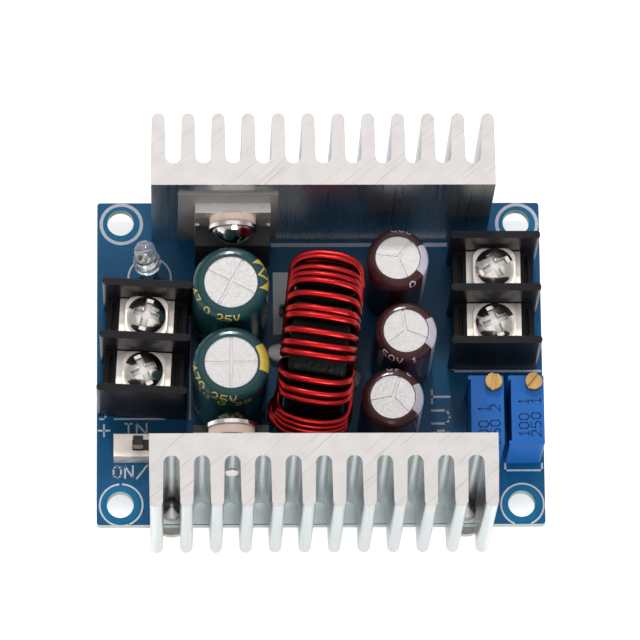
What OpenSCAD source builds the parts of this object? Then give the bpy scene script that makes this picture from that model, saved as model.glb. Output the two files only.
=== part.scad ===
// Step-down power converter on a small circuit board.
// Origin: centre of the board's underside. +X runs along the long side, from
// the input terminal to the output terminal. +Y points to the rear heatsink.

/* [Circuit board] */
// Length of the board, along X
board_l = 60; // [60:0.5:70]
// Width of the board, along Y
board_w = 45; // [44.5:0.5:52]
// Thickness of the board
board_t = 1.6; // [1:0.2:2.4]
// From a mounting hole's centre to the short edge
hole_inset_x = 3.15; // [2.9:0.05:3.4]
// From a mounting hole's centre to the long edge
hole_inset_y = 2.8; // [2.5:0.1:3.2]
// Diameter of the mounting holes
mount_hole_d = 3.6; // [3:0.1:4]

/* [Heatsinks] */
// Height of each extrusion, standing on the board
sink_h = 25; // [20:1:32]
// Number of fins on each heatsink
fin_count = 12; // [10:2:14]
// Distance from fin to fin
fin_pitch = 3.94; // [3.8:0.02:4.1]
// Thickness of a fin where it leaves the web
fin_root = 1.9; // [1.6:0.1:2.2]
// Thickness of a fin just under its rounded tip
fin_tip = 1.7; // [1.3:0.1:1.8]
// Length of a fin, from the web to its tip
fin_l = 6.9; // [5:0.1:9]
// Thickness of the web that carries the fins
web_t = 2.95; // [2.4:0.05:3.6]
// From the board's middle to the rear heatsink's inner face
rear_face_y = 17.18; // [17:0.02:18]
// From the board's middle to the front heatsink's inner face
front_face_y = 16.51; // [16.4:0.02:17.5]
// Sideways shift of the front heatsink
front_sink_x = -0.3; // [-0.5:0.1:0.5]

/* [Heatsink screws] */
// Diameter of the thread-forming shank
sink_screw_d = 2.6; // [2.2:0.1:3]
// Length of the shank under the head
sink_screw_l = 5; // [4:0.5:10]
// Diameter of the pan head
sink_head_d = 5.6; // [4.6:0.1:6]
// Height of the pan head, which the module stands on
sink_head_h = 2.2; // [2.1:0.1:3]
// From the board's middle to the screws
sink_screw_y = 20.75; // [20.6:0.05:21]

/* [Power devices] */
// Width of the metal tab and of the moulded body
device_w = 10; // [9.5:0.1:10.6]
// Height of the tab
tab_h = 15.4; // [14.8:0.1:16]
// Thickness of the tab
tab_t = 1.27; // [1:0.01:1.4]
// Height of the moulded body
body_h = 9.2; // [8.4:0.1:9.6]
// Thickness of the device, tab included
device_t = 4.5; // [4.3:0.1:4.8]
// Height of the rear device's body above the board
device_lift = 2.4; // [1.5:0.1:4]
// How much higher the front device stands
front_rise = 1.5; // [0:0.1:2]
// From the tab's top to the middle of its hole
tab_hole_drop = 2.7; // [2.5:0.1:3]
// Thickness of the insulating pads
pad_t = 0.3; // [0.1:0.05:0.4]
// Width of the insulating pads
pad_w = 13.2; // [11:0.1:14]
// Height of the insulating pads
pad_h = 20; // [18:0.5:22]
// Sideways shift of the pads from the devices' middle
pad_shift = -0.65; // [-1:0.05:1]
// Diameter of the machine screws that clamp the devices
clamp_screw_d = 3; // [2.5:0.1:3]
// Length of those screws under the head
clamp_screw_l = 6; // [5:0.5:10]
// Diameter of the flange under their pan heads
clamp_flange_d = 6.6; // [5.6:0.1:7]
// Diameter of the insulating bushing's flange
bushing_d = 6.1; // [5:0.1:7]
// Thickness of that flange
bushing_t = 1.25; // [0.6:0.05:1.4]

/* [Capacitors] */
// Diameter of the input capacitors, in their sleeves
in_cap_d = 10; // [8:0.5:10.5]
// Height of the input capacitors
in_cap_h = 20; // [16:0.5:25]
// Diameter of the output capacitors, in their sleeves
out_cap_d = 8.2; // [6.2:0.2:8.8]
// Height of the output capacitors
out_cap_h = 16; // [11:0.5:20]
// Thickness of the shrunk plastic sleeve
sleeve_t = 0.15; // [0.1:0.05:0.25]
// Gap between the two input capacitors
in_cap_gap = 0.95; // [0.3:0.05:1.2]
// Gap between the front pair of output capacitors
out_cap_gap = 0.85; // [0.3:0.05:1.2]

/* [Inductor] */
// Outer diameter of the ring core
core_od = 21.9; // [20:0.1:24]
// Inner diameter of the ring core
core_id = 14; // [12.5:0.1:15]
// Width of the ring core along its axis
core_w = 7.6; // [6:0.1:8.4]
// Diameter of the enamelled wire
wire_d = 0.92; // [0.8:0.02:1.1]
// Number of turns
turns = 29; // [20:1:30]
// Turn of the ring about the vertical
core_yaw = -6.2; // [-8:0.2:8]
// Height of the core's lowest point above the board
core_lift = 1.55; // [1.3:0.05:2.5]

/* [Terminal blocks] */
// Length of a barrier wall, across the board's edge
wall_l = 12; // [11:0.1:12.2]
// Thickness of a barrier wall
wall_t = 1; // [0.8:0.1:1.4]
// Distance from screw to screw
term_pitch = 7.27; // [7:0.01:7.62]
// Height of the barrier walls
wall_h = 12.9; // [12:0.1:15]
// Height of the contact plate's top face above the board
contact_z = 7.1; // [6.5:0.1:8]
// Diameter of the terminal screws' heads
term_head_d = 5.2; // [4.6:0.1:5.6]
// Diameter of the terminal screws' shanks
term_screw_d = 3; // [2.5:0.1:3.5]
// How far a terminal screw and its clamp rise when opened
clamp_travel = 2; // [1.5:0.1:2.5]
// How far the raised rear screw of each block stands open
raised_by = 1.3; // [0:0.1:1.5]
// Turn of the input block about the vertical
input_yaw = -3.1; // [-4:0.1:4]

/* [Trimmers] */
// Width of a trimmer
trim_w = 4.75; // [4.5:0.05:4.9]
// Depth of a trimmer
trim_d = 9.5; // [9:0.1:10]
// Height of a trimmer, feet included
trim_h = 10.3; // [9:0.1:11]
// Diameter of the adjusting screw's head
trim_screw_d = 2.25; // [1.9:0.05:2.4]
// How far that head stands out of the trimmer
trim_screw_out = 1.3; // [0.8:0.1:1.8]

/* [Slide switch] */
// Length of the switch's shell
switch_l = 8.6; // [8:0.1:9]
// Width of the shell
switch_w = 3.1; // [2.9:0.1:3.6]
// Height of the shell above the board
switch_h = 3.6; // [3.4:0.1:4.5]
// How far the slider moves
switch_travel = 2; // [1.4:0.1:2.2]
// Height of the slider's knob above the shell
knob_h = 2.5; // [1.5:0.1:4]

/* [Indicator lamp] */
// Diameter of the clear lens
led_d = 3; // [2.8:0.1:3.2]
// Height of the lens, flange included
led_h = 5.3; // [4.5:0.1:6]
// Height of the lens above the board
led_lift = 4.8; // [1:0.1:6]
// Lean of the lamp towards the rear
led_lean = 8; // [0:1:14]

/* [Hidden] */
$fn = 48;
// Sides of the swept wire, and of small arcs
wire_sides = 8;
arc_steps = 5;
// Overshoot of a cutting tool past the face that it cuts
past = 0.5;

// Clearances: all round, unless a line says otherwise
fit = 0.02;        // parts that are pressed or screwed together
running = 0.05;    // a turning shank in its bore
slide_gap = 0.1;   // a sliding part beside its guide
lead_gap = 0.15;   // a lead in its drilled hole

REAR = 0;
FRONT = 1;

// A solder joint's height, and how far its foot and its top reach past the lead
solder_h = 1.1;
solder_foot = 0.65;
solder_top = 0.12;

// Heatsinks
slot_r = (fin_pitch - fin_root) / 2;
sink_w = (fin_count - 1) * fin_pitch + fin_root;
sink_d = web_t + fin_l;
device_slot = fin_count / 2 - 3;
function face_y(side) = side == REAR ? rear_face_y : front_face_y;
function sink_x(side) = side == REAR ? 0 : front_sink_x;
function slot_x(i) = (i - fin_count / 2) * fin_pitch;
function device_x(side) = sink_x(side) + slot_x(device_slot);

// Power devices, in a frame whose origin is on the heatsink's inner face
tab_y = -pad_t - tab_t;
tab_hole_z = device_lift + tab_h - tab_hole_drop;
tab_hole_d = clamp_screw_d + 0.8;
pad_top_over_tab = 3.9;
pad_z = device_lift + tab_h + pad_top_over_tab - pad_h;
device_lead_pitch = 2.54;
device_lead_w = 0.8;
device_lead_t = 0.5;
lead_shoulder_w = 1.3;
lead_y = -pad_t - 2.65;
lead_end = 1.5;
clamp_head_d = clamp_flange_d - 1.1;
clamp_head_h = 2.2;
clamp_flange_t = 0.55;
function rise(side) = side == FRONT ? front_rise : 0;

// Radius of a pan head's dome as a share of its diameter, and width of its cross
pan_dome = 0.8;
clamp_dome = 0.58;
sink_cross = 3;
clamp_cross = 3.2;
term_cross = 3.4;

// Capacitors: centre x, centre y, turn of the vent score, for each
in_term_edge = 0.5;    // from the board's edge to the input block
out_term_edge = 0.8;   // and to the output block
input_x = -board_l / 2 + in_term_edge + wall_l / 2;
input_y = 0.1;
output_x = board_l / 2 - out_term_edge - wall_l / 2;
output_y = 6.76;
in_cap_off = 0.35;     // from the input block to its capacitors
out_cap_off = 2.15;    // from the output block to its capacitors
in_cap_x = input_x + wall_l / 2 + in_cap_off + in_cap_d / 2;
in_cap_y = -0.08;
out_cap_x = output_x - wall_l / 2 - out_cap_off - out_cap_d / 2;
out_cap_y = -0.15;
in_step = (in_cap_d + in_cap_gap) / 2;
out_step = out_cap_d + out_cap_gap;
// The outer two output capacitors stand nearer the inductor, and the rear one apart
rear_cap_shift = [-0.95, 1];
front_cap_shift = -1.85;
IN_CAPS = [
    [in_cap_x, in_cap_y + in_step, 62],
    [in_cap_x, in_cap_y - in_step, 0]
];
OUT_CAPS = [
    [out_cap_x + rear_cap_shift[0], out_cap_y + out_step + rear_cap_shift[1], 53],
    [out_cap_x, out_cap_y, 98],
    [out_cap_x + front_cap_shift, out_cap_y - out_step, 72]
];
in_lead_pitch = in_cap_d / 2;
out_lead_pitch = 3.5;
cap_lead_d = 0.6;
bung_h = 1.6;
bung_inset = 0.5;      // the bung's edge inside the can's
bead_r = 0.45;         // of the can's rolled bead
score_w = 0.4;         // the vent score's width and depth
score_deep = 0.12;
in_lip = 3.5;          // radius of the opening in the sleeve's drawn-in top
out_lip = 3.05;
in_tint = "#1f4243";
out_tint = "#3c1f20";

// Inductor
ring_x = -0.4;
ring_y = -1.3;
core_r = core_od / 2;
bore_r = core_id / 2;
core_edge = 0.5;
ring_z = board_t + core_lift + core_r;
wire_gap = 0.03;
wire_off = wire_d / 2 + wire_gap;
// The wire lies in the bore, and stands off the rim and the sides, as wound by hand
rim_slack = 0.45;
side_slack = 0.3;
rim_arch = 0.35;
wind_out = core_r + wire_off + rim_slack;
wind_in = bore_r - wire_off;
wind_w = core_w / 2 + wire_off + side_slack;
rim_bend = 2;
bore_bend = core_edge + wire_off;
// Angle from turn to turn in the bore, where the wires lie almost side by side
turn_step = 2 * asin(1.1 * wire_d / 2 / wind_in);
// How far each turn slants across the rim, in degrees round the ring
rim_slant = 1.2;
// Slack of each visible turn round the rim, in wire diameters, as wound by hand
SLACK = [-0.6, -1.2, -1.6, -0.7, 0.8, 0.3, -0.4, 0, 0.2, -0.7, -0.4, -0.6, -1.2, 0.4, 0.3, -0.4, 1.5, 0.7];
first_slack = 4;
// The middle of the winding leans this far to the front
wind_mid = 9;
// How far the slack turns near the end stand out on the input side
BULGE = [0.2, 0.5, 0.9, 0.4, 0.1, 0.2, 0.1];
first_bulged = turns - 8;
// Where the two ends of the wire go down: outside the winding, each side of the middle
lead_out = 0.9;
lead_spread = 7.6;
lead_bend_z = 3;

// Terminal blocks, in a frame whose origin is under the block on the board's top
plate_t = 0.8;
plate_l = 7.3;
clamp_l = 5.7;
clamp_corner = 1.4;
clamp_t = 0.9;
term_head_h = 1.6;
term_shank_l = 6;
rest_gap = 0.03;
base_l = wall_l - 1.2;
cell_w = term_pitch - wall_t;
plate_w = cell_w - 2 * slide_gap;
clamp_w = cell_w - 0.7;
term_pin_x = plate_l / 2 - 0.5;
term_pin_w = 0.9;
term_pin_t = 0.8;
INPUT_TURNS = [77, -63];
OUTPUT_TURNS = [28, -68];

// Trimmers
trim_edge = 0.6;
trim_gap = 0.57;
trim_y = -9.5;
trim_foot = 0.4;
trim_rib = 0.55;       // the full-width ends of the body, each side of a recess
trim_recess = 0.38;
TRIM_TURNS = [80, 50];
trim_slot_w = 0.5;
trim_slot_h = 0.45;
TRIM_X = [
    board_l / 2 - trim_edge - trim_w * 1.5 - trim_gap,
    board_l / 2 - trim_edge - trim_w / 2
];
trim_screw_x = 1;
trim_screw_y = trim_d / 2 - 1.1;
trim_shank_d = 1.6;
trim_shank_l = 6;
trim_pin_d = 0.6;
trim_pin_pitch = 2.54;

// Slide switch, with its left end near the board's edge
switch_x = -board_l / 2 + 2.28 + switch_l / 2;
switch_y = -12.4;
shell_t = 0.3;
knob_l = 1.35;
knob_w = 1.3;
carrier_h = 1;
switch_floor = 0.8;
switch_pin_pitch = 2.5;

// Indicator lamp
led_x = -board_l / 2 + 7.1;
led_y = 11.9;
led_bend = 0.4;
led_flange_h = 1;
led_pitch = 2;
led_lead_d = 0.5;

// Parts under the board
CHIP = [4.9, 3.9, 1.5];
CHIP_RESISTOR = [2, 1.25, 0.55];
CHIP_CAPACITOR = [3.2, 1.6, 1];
SHUNT_SIZE = [6.4, 3.2, 0.65];
chip_stand = 0.1;
chip_lead_pitch = 1.27;
chip_lead_w = 0.4;
CONTROLLER = [-0.4, 6];
AMPLIFIER = [17, 1.5];
SHUNT = [-0.5, -10.5];

function arc(cx, cy, r, a0, a1, n = arc_steps) =
    [for (i = [0:n]) [cx + r * cos(a0 + (a1 - a0) * i / n), cy + r * sin(a0 + (a1 - a0) * i / n)]];
function round_rect(w, h, r) = concat(
    arc(w / 2 - r, h / 2 - r, r, 0, 90), arc(-w / 2 + r, h / 2 - r, r, 90, 180),
    arc(-w / 2 + r, -h / 2 + r, r, 180, 270), arc(w / 2 - r, -h / 2 + r, r, 270, 360));
function turned(p, a) = [p[0] * cos(a) - p[1] * sin(a), p[0] * sin(a) + p[1] * cos(a)];

// Swept wire: rings of points carried along the path without twist
function unit(v) = v / norm(v);
function carried(n, t) = unit(n - t * (n * t));
function tangents(p) =
    [for (i = [0:len(p) - 1]) unit(p[min(i + 1, len(p) - 1)] - p[max(i - 1, 0)])];
function normals(t) = [
    for (i = 0, n = carried([1, 0.2, 0.1], t[0]); i < len(t);
         i = i + 1, n = i < len(t) ? carried(n, t[i]) : n) n];
function wire_rings(p, r, k) = let (t = tangents(p), n = normals(t)) [
    for (i = [0:len(p) - 1], j = [0:k - 1])
        let (a = 360 * j / k)
        p[i] + r * (cos(a) * n[i] + sin(a) * cross(t[i], n[i]))];
function wire_faces(n, k) = concat(
    [[for (j = [0:k - 1]) j]],
    [for (i = [0:n - 2], j = [0:k - 1]) let (m = (j + 1) % k)
        [(i + 1) * k + j, (i + 1) * k + m, i * k + m, i * k + j]],
    [[for (j = [0:k - 1]) n * k - 1 - j]]);
module wire(p, d, k) {
    polyhedron(wire_rings(p, d / 2, k), wire_faces(len(p), k));
}

// Lead places in the board: x, y, radius
function cap_leads(caps, pitch) =
    [for (c = caps, s = [-1, 1]) [c[0], c[1] + s * pitch / 2, cap_lead_d / 2]];
function device_holes(side) = [for (s = [-1:1]) [
    device_x(side) + s * device_lead_pitch,
    (side == REAR ? 1 : -1) * (face_y(side) + lead_y), norm([device_lead_w, device_lead_t]) / 2]];
function term_pin(x, y, yaw, s) = let (p = turned([term_pin_x, s * term_pitch / 2], yaw))
    [x + p[0], y + p[1], norm([term_pin_w, term_pin_t]) / 2];
function trim_pins(x) = [for (s = [-1:1]) [x, trim_y + s * trim_pin_pitch, trim_pin_d / 2]];
SWITCH_PINS = [for (s = [-1:1]) [switch_x + s * switch_pin_pitch, switch_y, 0.35]];
LED_LEADS = [for (s = [-1, 1]) [led_x + s * led_pitch / 2, led_y, led_lead_d / 2]];
function ring_place(a, u) = [
    ring_x + a * cos(core_yaw) + u * sin(core_yaw),
    ring_y + a * sin(core_yaw) - u * cos(core_yaw)];
RING_LEADS = [
    for (s = [-1, 1]) concat(ring_place(-wind_w - lead_out, s * lead_spread), wire_d / 2)
];
LEADS = concat(
    cap_leads(IN_CAPS, in_lead_pitch), cap_leads(OUT_CAPS, out_lead_pitch),
    device_holes(REAR), device_holes(FRONT),
    [for (s = [1, -1]) term_pin(input_x, input_y, input_yaw, s)],
    [for (s = [1, -1]) term_pin(output_x, output_y, 0, s)],
    trim_pins(TRIM_X[0]), trim_pins(TRIM_X[1]), SWITCH_PINS, LED_LEADS, RING_LEADS);

// ---- Board and solder ----

module circuit_board() color("#0f4f7d") {
    difference() {
        linear_extrude(board_t)
            polygon(round_rect(board_l, board_w, 0.4));
        for (x = [-1, 1], y = [-1, 1])
            translate([x * (board_l / 2 - hole_inset_x), y * (board_w / 2 - hole_inset_y), -past])
                cylinder(h = board_t + 2 * past, d = mount_hole_d);
        for (side = [REAR, FRONT], i = [1, fin_count - 1])
            translate([sink_x(side) + slot_x(i), (side == REAR ? 1 : -1) * sink_screw_y, -past])
                cylinder(h = board_t + 2 * past, d = sink_screw_d + 2 * slide_gap);
        for (p = LEADS)
            translate([p[0], p[1], -past])
                cylinder(h = board_t + 2 * past, r = p[2] + lead_gap);
    }
}

// One cone of solder round each lead, under the board
module solder_joints() color("#b9bcc0") {
    for (p = LEADS)
        translate([p[0], p[1], 0])
            difference() {
                rotate([180, 0, 0]) cylinder(h = solder_h, r1 = p[2] + solder_foot, r2 = p[2] + solder_top);
                translate([0, 0, -solder_h - past]) cylinder(h = solder_h + 2 * past, r = p[2] + fit);
            }
}

// ---- Heatsinks ----

// Carries a child from the frame of a heatsink's inner face to its side of the board
module at_side(side) {
    if (side == REAR)
        translate([0, rear_face_y, board_t]) children();
    else
        mirror([0, 1, 0]) translate([front_sink_x, front_face_y, board_t]) children();
}

module sink_profile() {
    fin_base = web_t + slot_r;
    tip_r = fin_tip / 2;
    difference() {
        translate([-sink_w / 2, 0]) square([sink_w, fin_base]);
        for (i = [1:fin_count - 1])
            translate([slot_x(i), fin_base]) circle(slot_r);
    }
    for (i = [0:fin_count - 1])
        translate([slot_x(i) + fin_pitch / 2, 0]) {
            polygon([[-fin_root / 2, fin_base - 0.01], [fin_root / 2, fin_base - 0.01],
                     [tip_r, sink_d - tip_r], [-tip_r, sink_d - tip_r]]);
            translate([0, sink_d - tip_r]) circle(tip_r);
        }
}

module heatsink(side) color("#c9c8c6") at_side(side) {
    screw_y = sink_screw_y - face_y(side);
    difference() {
        linear_extrude(sink_h) sink_profile();
        for (i = [1, fin_count - 1])
            translate([slot_x(i), screw_y, -past])
                cylinder(h = past + sink_screw_l - board_t + fit, d = sink_screw_d + 2 * fit);
        translate([slot_x(device_slot), -past, tab_hole_z + rise(side)]) rotate([-90, 0, 0])
            cylinder(h = past + clamp_screw_l - bushing_t - tab_t, d = clamp_screw_d + 2 * fit);
    }
}

// Pan head with a cross recess, its underside at z = 0
module pan_head(d, h, cross, dome, slot = false) {
    difference() {
        intersection() {
            cylinder(h = h, d = d);
            translate([0, 0, h - dome]) sphere(r = dome, $fn = 64);
        }
        for (a = [0, 90])
            rotate(a) translate([-cross / 2, -cross / 8, h * 0.35]) cube([cross, cross / 4, h]);
        if (slot)
            translate([-d, -cross / 7, h * 0.6]) cube([2 * d, cross * 2 / 7, h]);
    }
}

module heatsink_screws() color("#6d6a66") {
    point = 1.6;
    for (side = [REAR, FRONT], i = [1, fin_count - 1])
        translate([sink_x(side) + slot_x(i), (side == REAR ? 1 : -1) * sink_screw_y, 0]) {
            rotate([180, 0, 0]) pan_head(sink_head_d, sink_head_h, sink_cross, sink_head_d * pan_dome);
            cylinder(h = sink_screw_l - point, d = sink_screw_d);
            translate([0, 0, sink_screw_l - point])
                cylinder(h = point, d1 = sink_screw_d, d2 = 0.5);
        }
}

// ---- Power devices, the same on both heatsinks ----

module at_device(side) at_side(side) translate([slot_x(device_slot), 0, rise(side)]) children();

module lead_blade(side, x, top) {
    foot = -board_t - lead_end - rise(side);
    translate([x - device_lead_w / 2, lead_y - device_lead_t / 2, foot])
        cube([device_lead_w, device_lead_t, top - foot]);
    translate([x - lead_shoulder_w / 2, lead_y - device_lead_t / 2, 1.1])
        cube([lead_shoulder_w, device_lead_t, top - 1.1]);
}

// Tab, with the middle lead that is stamped from the same strip
module device_tab(side) color("#cfcbc6") at_device(side) {
    link_z = device_lift + 1.2;
    difference() {
        translate([-device_w / 2, tab_y, device_lift])
            cube([device_w, tab_t, tab_h]);
        translate([0, tab_y - past, tab_hole_z]) rotate([-90, 0, 0])
            cylinder(h = tab_t + 2 * past, d = tab_hole_d);
        for (s = [-1, 1])
            translate([s * device_w / 2, tab_y - past, device_lift + body_h + 0.9]) rotate([-90, 0, 0])
                cylinder(h = tab_t + 2 * past, r = 0.6);
    }
    lead_blade(side, 0, link_z);
    translate([-lead_shoulder_w / 2, lead_y - device_lead_t / 2, link_z - 0.7])
        cube([lead_shoulder_w, tab_y - lead_y + device_lead_t / 2 + 0.1, 0.7]);
}

module device_leads(side) color("#c8c6c0") at_device(side)
    for (s = [-1, 1]) lead_blade(side, s * device_lead_pitch, device_lift + 1.2);

module device_body(side) color("#1c1c1f") {
    d = device_t - tab_t;
    difference() {
        at_device(side)
            difference() {
                translate([-device_w / 2, tab_y, device_lift]) rotate([90, 0, 90])
                    linear_extrude(device_w)
                        polygon([[0, 0], [-d + 0.4, 0], [-d, 1], [-d, body_h - 1.2],
                                 [-d + 0.5, body_h], [0, body_h]]);
                translate([0, tab_y - d - past, device_lift + body_h - 2.4]) rotate([-90, 0, 0])
                    cylinder(h = past + 0.15, r = 0.9);
            }
        device_tab(side);
        device_leads(side);
    }
}

module insulating_pad(side) color("#5d5c60") at_device(side)
    difference() {
        translate([pad_shift - pad_w / 2, -pad_t, pad_z]) cube([pad_w, pad_t, pad_h]);
        translate([0, -pad_t - past, tab_hole_z]) rotate([-90, 0, 0])
            cylinder(h = pad_t + 2 * past, d = clamp_screw_d + 2 * slide_gap);
    }

module insulating_bushings() color("#d5b8a6")
    for (side = [REAR, FRONT]) at_device(side)
        translate([0, tab_y, tab_hole_z]) rotate([-90, 0, 0])
            difference() {
                union() {
                    translate([0, 0, -bushing_t]) cylinder(h = bushing_t, d = bushing_d);
                    cylinder(h = tab_t, d = tab_hole_d - 2 * fit);
                }
                translate([0, 0, -bushing_t - past])
                    cylinder(h = bushing_t + tab_t + 2 * past, d = clamp_screw_d + 2 * slide_gap);
            }

module device_screws() color("#bdbab6")
    for (side = [REAR, FRONT]) at_device(side)
        translate([0, tab_y - bushing_t, tab_hole_z]) {
            rotate([90, 25, 0]) {
                cylinder(h = clamp_flange_t, d = clamp_flange_d);
                pan_head(clamp_head_d, clamp_head_h, clamp_cross, clamp_head_d * clamp_dome);
            }
            rotate([-90, 0, 0]) cylinder(h = clamp_screw_l, d = clamp_screw_d);
        }

// ---- Electrolytic capacitors ----

// Half section of a can: rounded top edge, rolled bead above the open foot
function can_section(r, h, edge) = let (z = bung_h + 2 * bead_r) concat(
    [[0, 0], [r, 0]], arc(r, z, bead_r, 270, 90), arc(r - edge, h - edge, edge, 0, 90), [[0, h]]);

module can(cap, d, h, lip, arms) color("#d9d7d6") {
    r = d / 2 - sleeve_t;
    translate([cap[0], cap[1], board_t + sleeve_t])
        difference() {
            rotate_extrude() polygon(can_section(r, h - 2 * sleeve_t, 1));
            translate([0, 0, -past]) cylinder(h = past + bung_h + fit, r = r - bung_inset);
            translate([0, 0, h - 2 * sleeve_t])
                for (i = [0:arms - 1])
                    rotate(cap[2] + i * 360 / arms)
                        translate([-score_w / 2, -score_w / 2, -score_deep])
                            cube([lip + score_w, score_w, past]);
        }
}

// Shrunk sleeve: a tube with its ends drawn in over the can's top and foot
module sleeve(cap, d, h, lip, tint) color(tint) {
    r = d / 2;
    edge = 1;
    t = sleeve_t;
    translate([cap[0], cap[1], board_t])
        rotate_extrude() polygon(concat(
            [[r - 1.1, 0], [r - 0.3, 0], [r, 0.3]], arc(r - edge - t, h - edge - t, edge + t, 0, 90),
            [[lip, h], [lip, h - t]], arc(r - edge - t, h - edge - t, edge + fit, 90, 0),
            [[r - t + fit, t], [r - 1.1, t - fit]]));
}

module input_can(i) can(IN_CAPS[i], in_cap_d, in_cap_h, in_lip, 4);
module output_can(i) can(OUT_CAPS[i], out_cap_d, out_cap_h, out_lip, 3);
module input_sleeve(i) sleeve(IN_CAPS[i], in_cap_d, in_cap_h, in_lip, in_tint);
module output_sleeve(i) sleeve(OUT_CAPS[i], out_cap_d, out_cap_h, out_lip, out_tint);

module capacitor_bungs() color("#26262a")
    for (c = concat([for (i = IN_CAPS) [i, in_cap_d, in_lead_pitch]],
                    [for (i = OUT_CAPS) [i, out_cap_d, out_lead_pitch]]))
        translate([c[0][0], c[0][1], board_t + sleeve_t])
            difference() {
                cylinder(h = bung_h, r = c[1] / 2 - sleeve_t - bung_inset - fit);
                for (s = [-1, 1])
                    translate([0, s * c[2] / 2, -past])
                        cylinder(h = bung_h + 2 * past, d = cap_lead_d + 2 * fit);
            }

module capacitor_leads() color("#c8c6c0")
    for (p = concat(cap_leads(IN_CAPS, in_lead_pitch), cap_leads(OUT_CAPS, out_lead_pitch)))
        translate([p[0], p[1], -lead_end])
            cylinder(h = lead_end + board_t + sleeve_t + bung_h, r = p[2]);

// ---- Inductor ----

// Carries a child from the ring's own frame: x along its axis, -y to the front
module at_ring() translate([ring_x, ring_y, ring_z]) rotate(core_yaw) children();

module inductor_core() color("#151517") at_ring() rotate([0, 90, 0])
    rotate_extrude($fn = 96) {
        w = core_w / 2;
        e = core_edge;
        polygon(concat(
            arc(core_r - e, w - e, e, 0, 90), arc(bore_r + e, w - e, e, 90, 180),
            arc(bore_r + e, -w + e, e, 180, 270), arc(core_r - e, -w + e, e, 270, 360)));
    }

// A point on the ring: a along the axis, r from it, angle from the top to the front
function ring_point(a, r, angle) = [a, -r * sin(angle), r * cos(angle)];
function bore_angle(k) = wind_mid + (k - (turns - 1) / 2) * turn_step;
function slack(k) = let (i = k - first_slack)
    (i < 0 || i >= len(SLACK)) ? 0 : SLACK[i] * wire_d / wind_out * 180 / PI;
function rim_angle(k) = bore_angle(k) + slack(k);
function bulge_at(k) = let (i = k - first_bulged)
    (i < 0 || i >= len(BULGE)) ? 0 : BULGE[i];

// One turn, from the bore on the input side, over the rim and back through the bore
function one_turn(k) = let (
        w = wind_w - rim_bend, o = wind_out - rim_bend, d = rim_bend * cos(45),
        v = wind_w - bore_bend, n = wind_in + bore_bend, e = bore_bend * cos(45),
        c0 = bore_angle(k), c1 = rim_angle(k), h = rim_slant / 2, b = bulge_at(k),
        arch = rim_arch * abs(sin(c1)))
    [
        ring_point(-wind_w - b * 0.2, n, c0),
        ring_point(-wind_w - b, (o + n) / 2, c0 * 0.5 + (c1 - h) * 0.5),
        ring_point(-wind_w - b * 0.8, o, c1 - h),
        ring_point(-w - d - b * 0.4, o + d + b * 0.2, c1 - h),
        ring_point(-w, wind_out + arch / 2 + b * 0.2, c1 - h),
        ring_point(0, wind_out + arch + b * 0.1, c1),
        ring_point(w, wind_out + arch / 2, c1 + h),
        ring_point(w + d, o + d, c1 + h),
        ring_point(wind_w, o, c1 + h),
        ring_point(wind_w, n, c0),
        ring_point(v + e, n - e, c0 + turn_step * 0.02),
        ring_point(v, wind_in, c0 + turn_step * 0.08),
        ring_point(0, wind_in - wire_gap, c0 + turn_step * 0.5),
        ring_point(-v, wind_in, c0 + turn_step * 0.92),
        ring_point(-v - e, n - e, c0 + turn_step * 0.98)
    ];
function lead_down(place, top) = let (p = turned([place[0] - ring_x, place[1] - ring_y], -core_yaw))
    [for (z = top) [p[0], p[1], z - ring_z]];
function winding_path() = concat(
    lead_down(RING_LEADS[0], [-lead_end, board_t + 0.5, board_t + lead_bend_z]),
    [for (k = [0:turns - 1]) each one_turn(k)],
    [ring_point(-wind_w - wire_gap, wind_in + bore_bend, bore_angle(turns)),
     ring_point(-wind_w - lead_out / 2, (wind_in + wind_out) / 2, bore_angle(turns) - 2)],
    lead_down(RING_LEADS[1], [board_t + lead_bend_z, board_t + 0.5, -lead_end]));

module inductor_winding() color("#a5141a") at_ring()
    wire(winding_path(), wire_d, wire_sides);

// Two pools of silicone under the core's edges
module inductor_adhesive() color("#cfcac6") {
    pool_r = 5;
    difference() {
        intersection() {
            union() {
                translate([ring_x - 4.3, ring_y + 0.9, board_t - 2.8]) sphere(pool_r);
                translate([ring_x + 4, ring_y - 0.7, board_t - 2.8]) sphere(pool_r);
            }
            translate([-board_l / 2, -board_w / 2, board_t]) cube([board_l, board_w, pool_r]);
        }
        at_ring() rotate([0, 90, 0])
            translate([0, 0, -core_w / 2 - fit]) cylinder(h = core_w + 2 * fit, r = core_r + fit, $fn = 96);
        translate([OUT_CAPS[1][0], OUT_CAPS[1][1], board_t - past])
            cylinder(h = pool_r, d = out_cap_d + 2 * fit);
    }
}

// ---- Terminal blocks ----

module at_input() translate([input_x, input_y, board_t]) rotate(input_yaw) children();
module at_output() translate([output_x, output_y, board_t]) children();
module at_cell(s) translate([0, s * term_pitch / 2, 0]) children();

module terminal_housing() color("#1a191d") {
    floor_z = contact_z - plate_t;
    width = 2 * term_pitch + wall_t;
    difference() {
        union() {
            translate([-base_l / 2, -width / 2, 0]) cube([base_l, width, floor_z]);
            for (i = [-1:1])
                translate([0, i * term_pitch, 0])
                    linear_extrude(wall_h) polygon(round_rect(wall_l, wall_t, wall_t * 0.45));
        }
        for (s = [-1, 1]) at_cell(s) {
            translate([0, 0, contact_z - term_shank_l])
                cylinder(h = term_shank_l, d = term_screw_d + 4 * slide_gap);
            translate([term_pin_x - term_pin_w / 2 - fit, -term_pin_t / 2 - fit, -past])
                cube([term_pin_w + 2 * fit, term_pin_t + 2 * fit, floor_z + 2 * past]);
            for (x = [-1, 1])
                translate([x * (plate_l / 2 + 0.75) - 0.25, -cell_w / 2 + 0.6, floor_z - 0.8])
                    cube([0.5, cell_w - 1.2, 2]);
        }
    }
}

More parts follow.
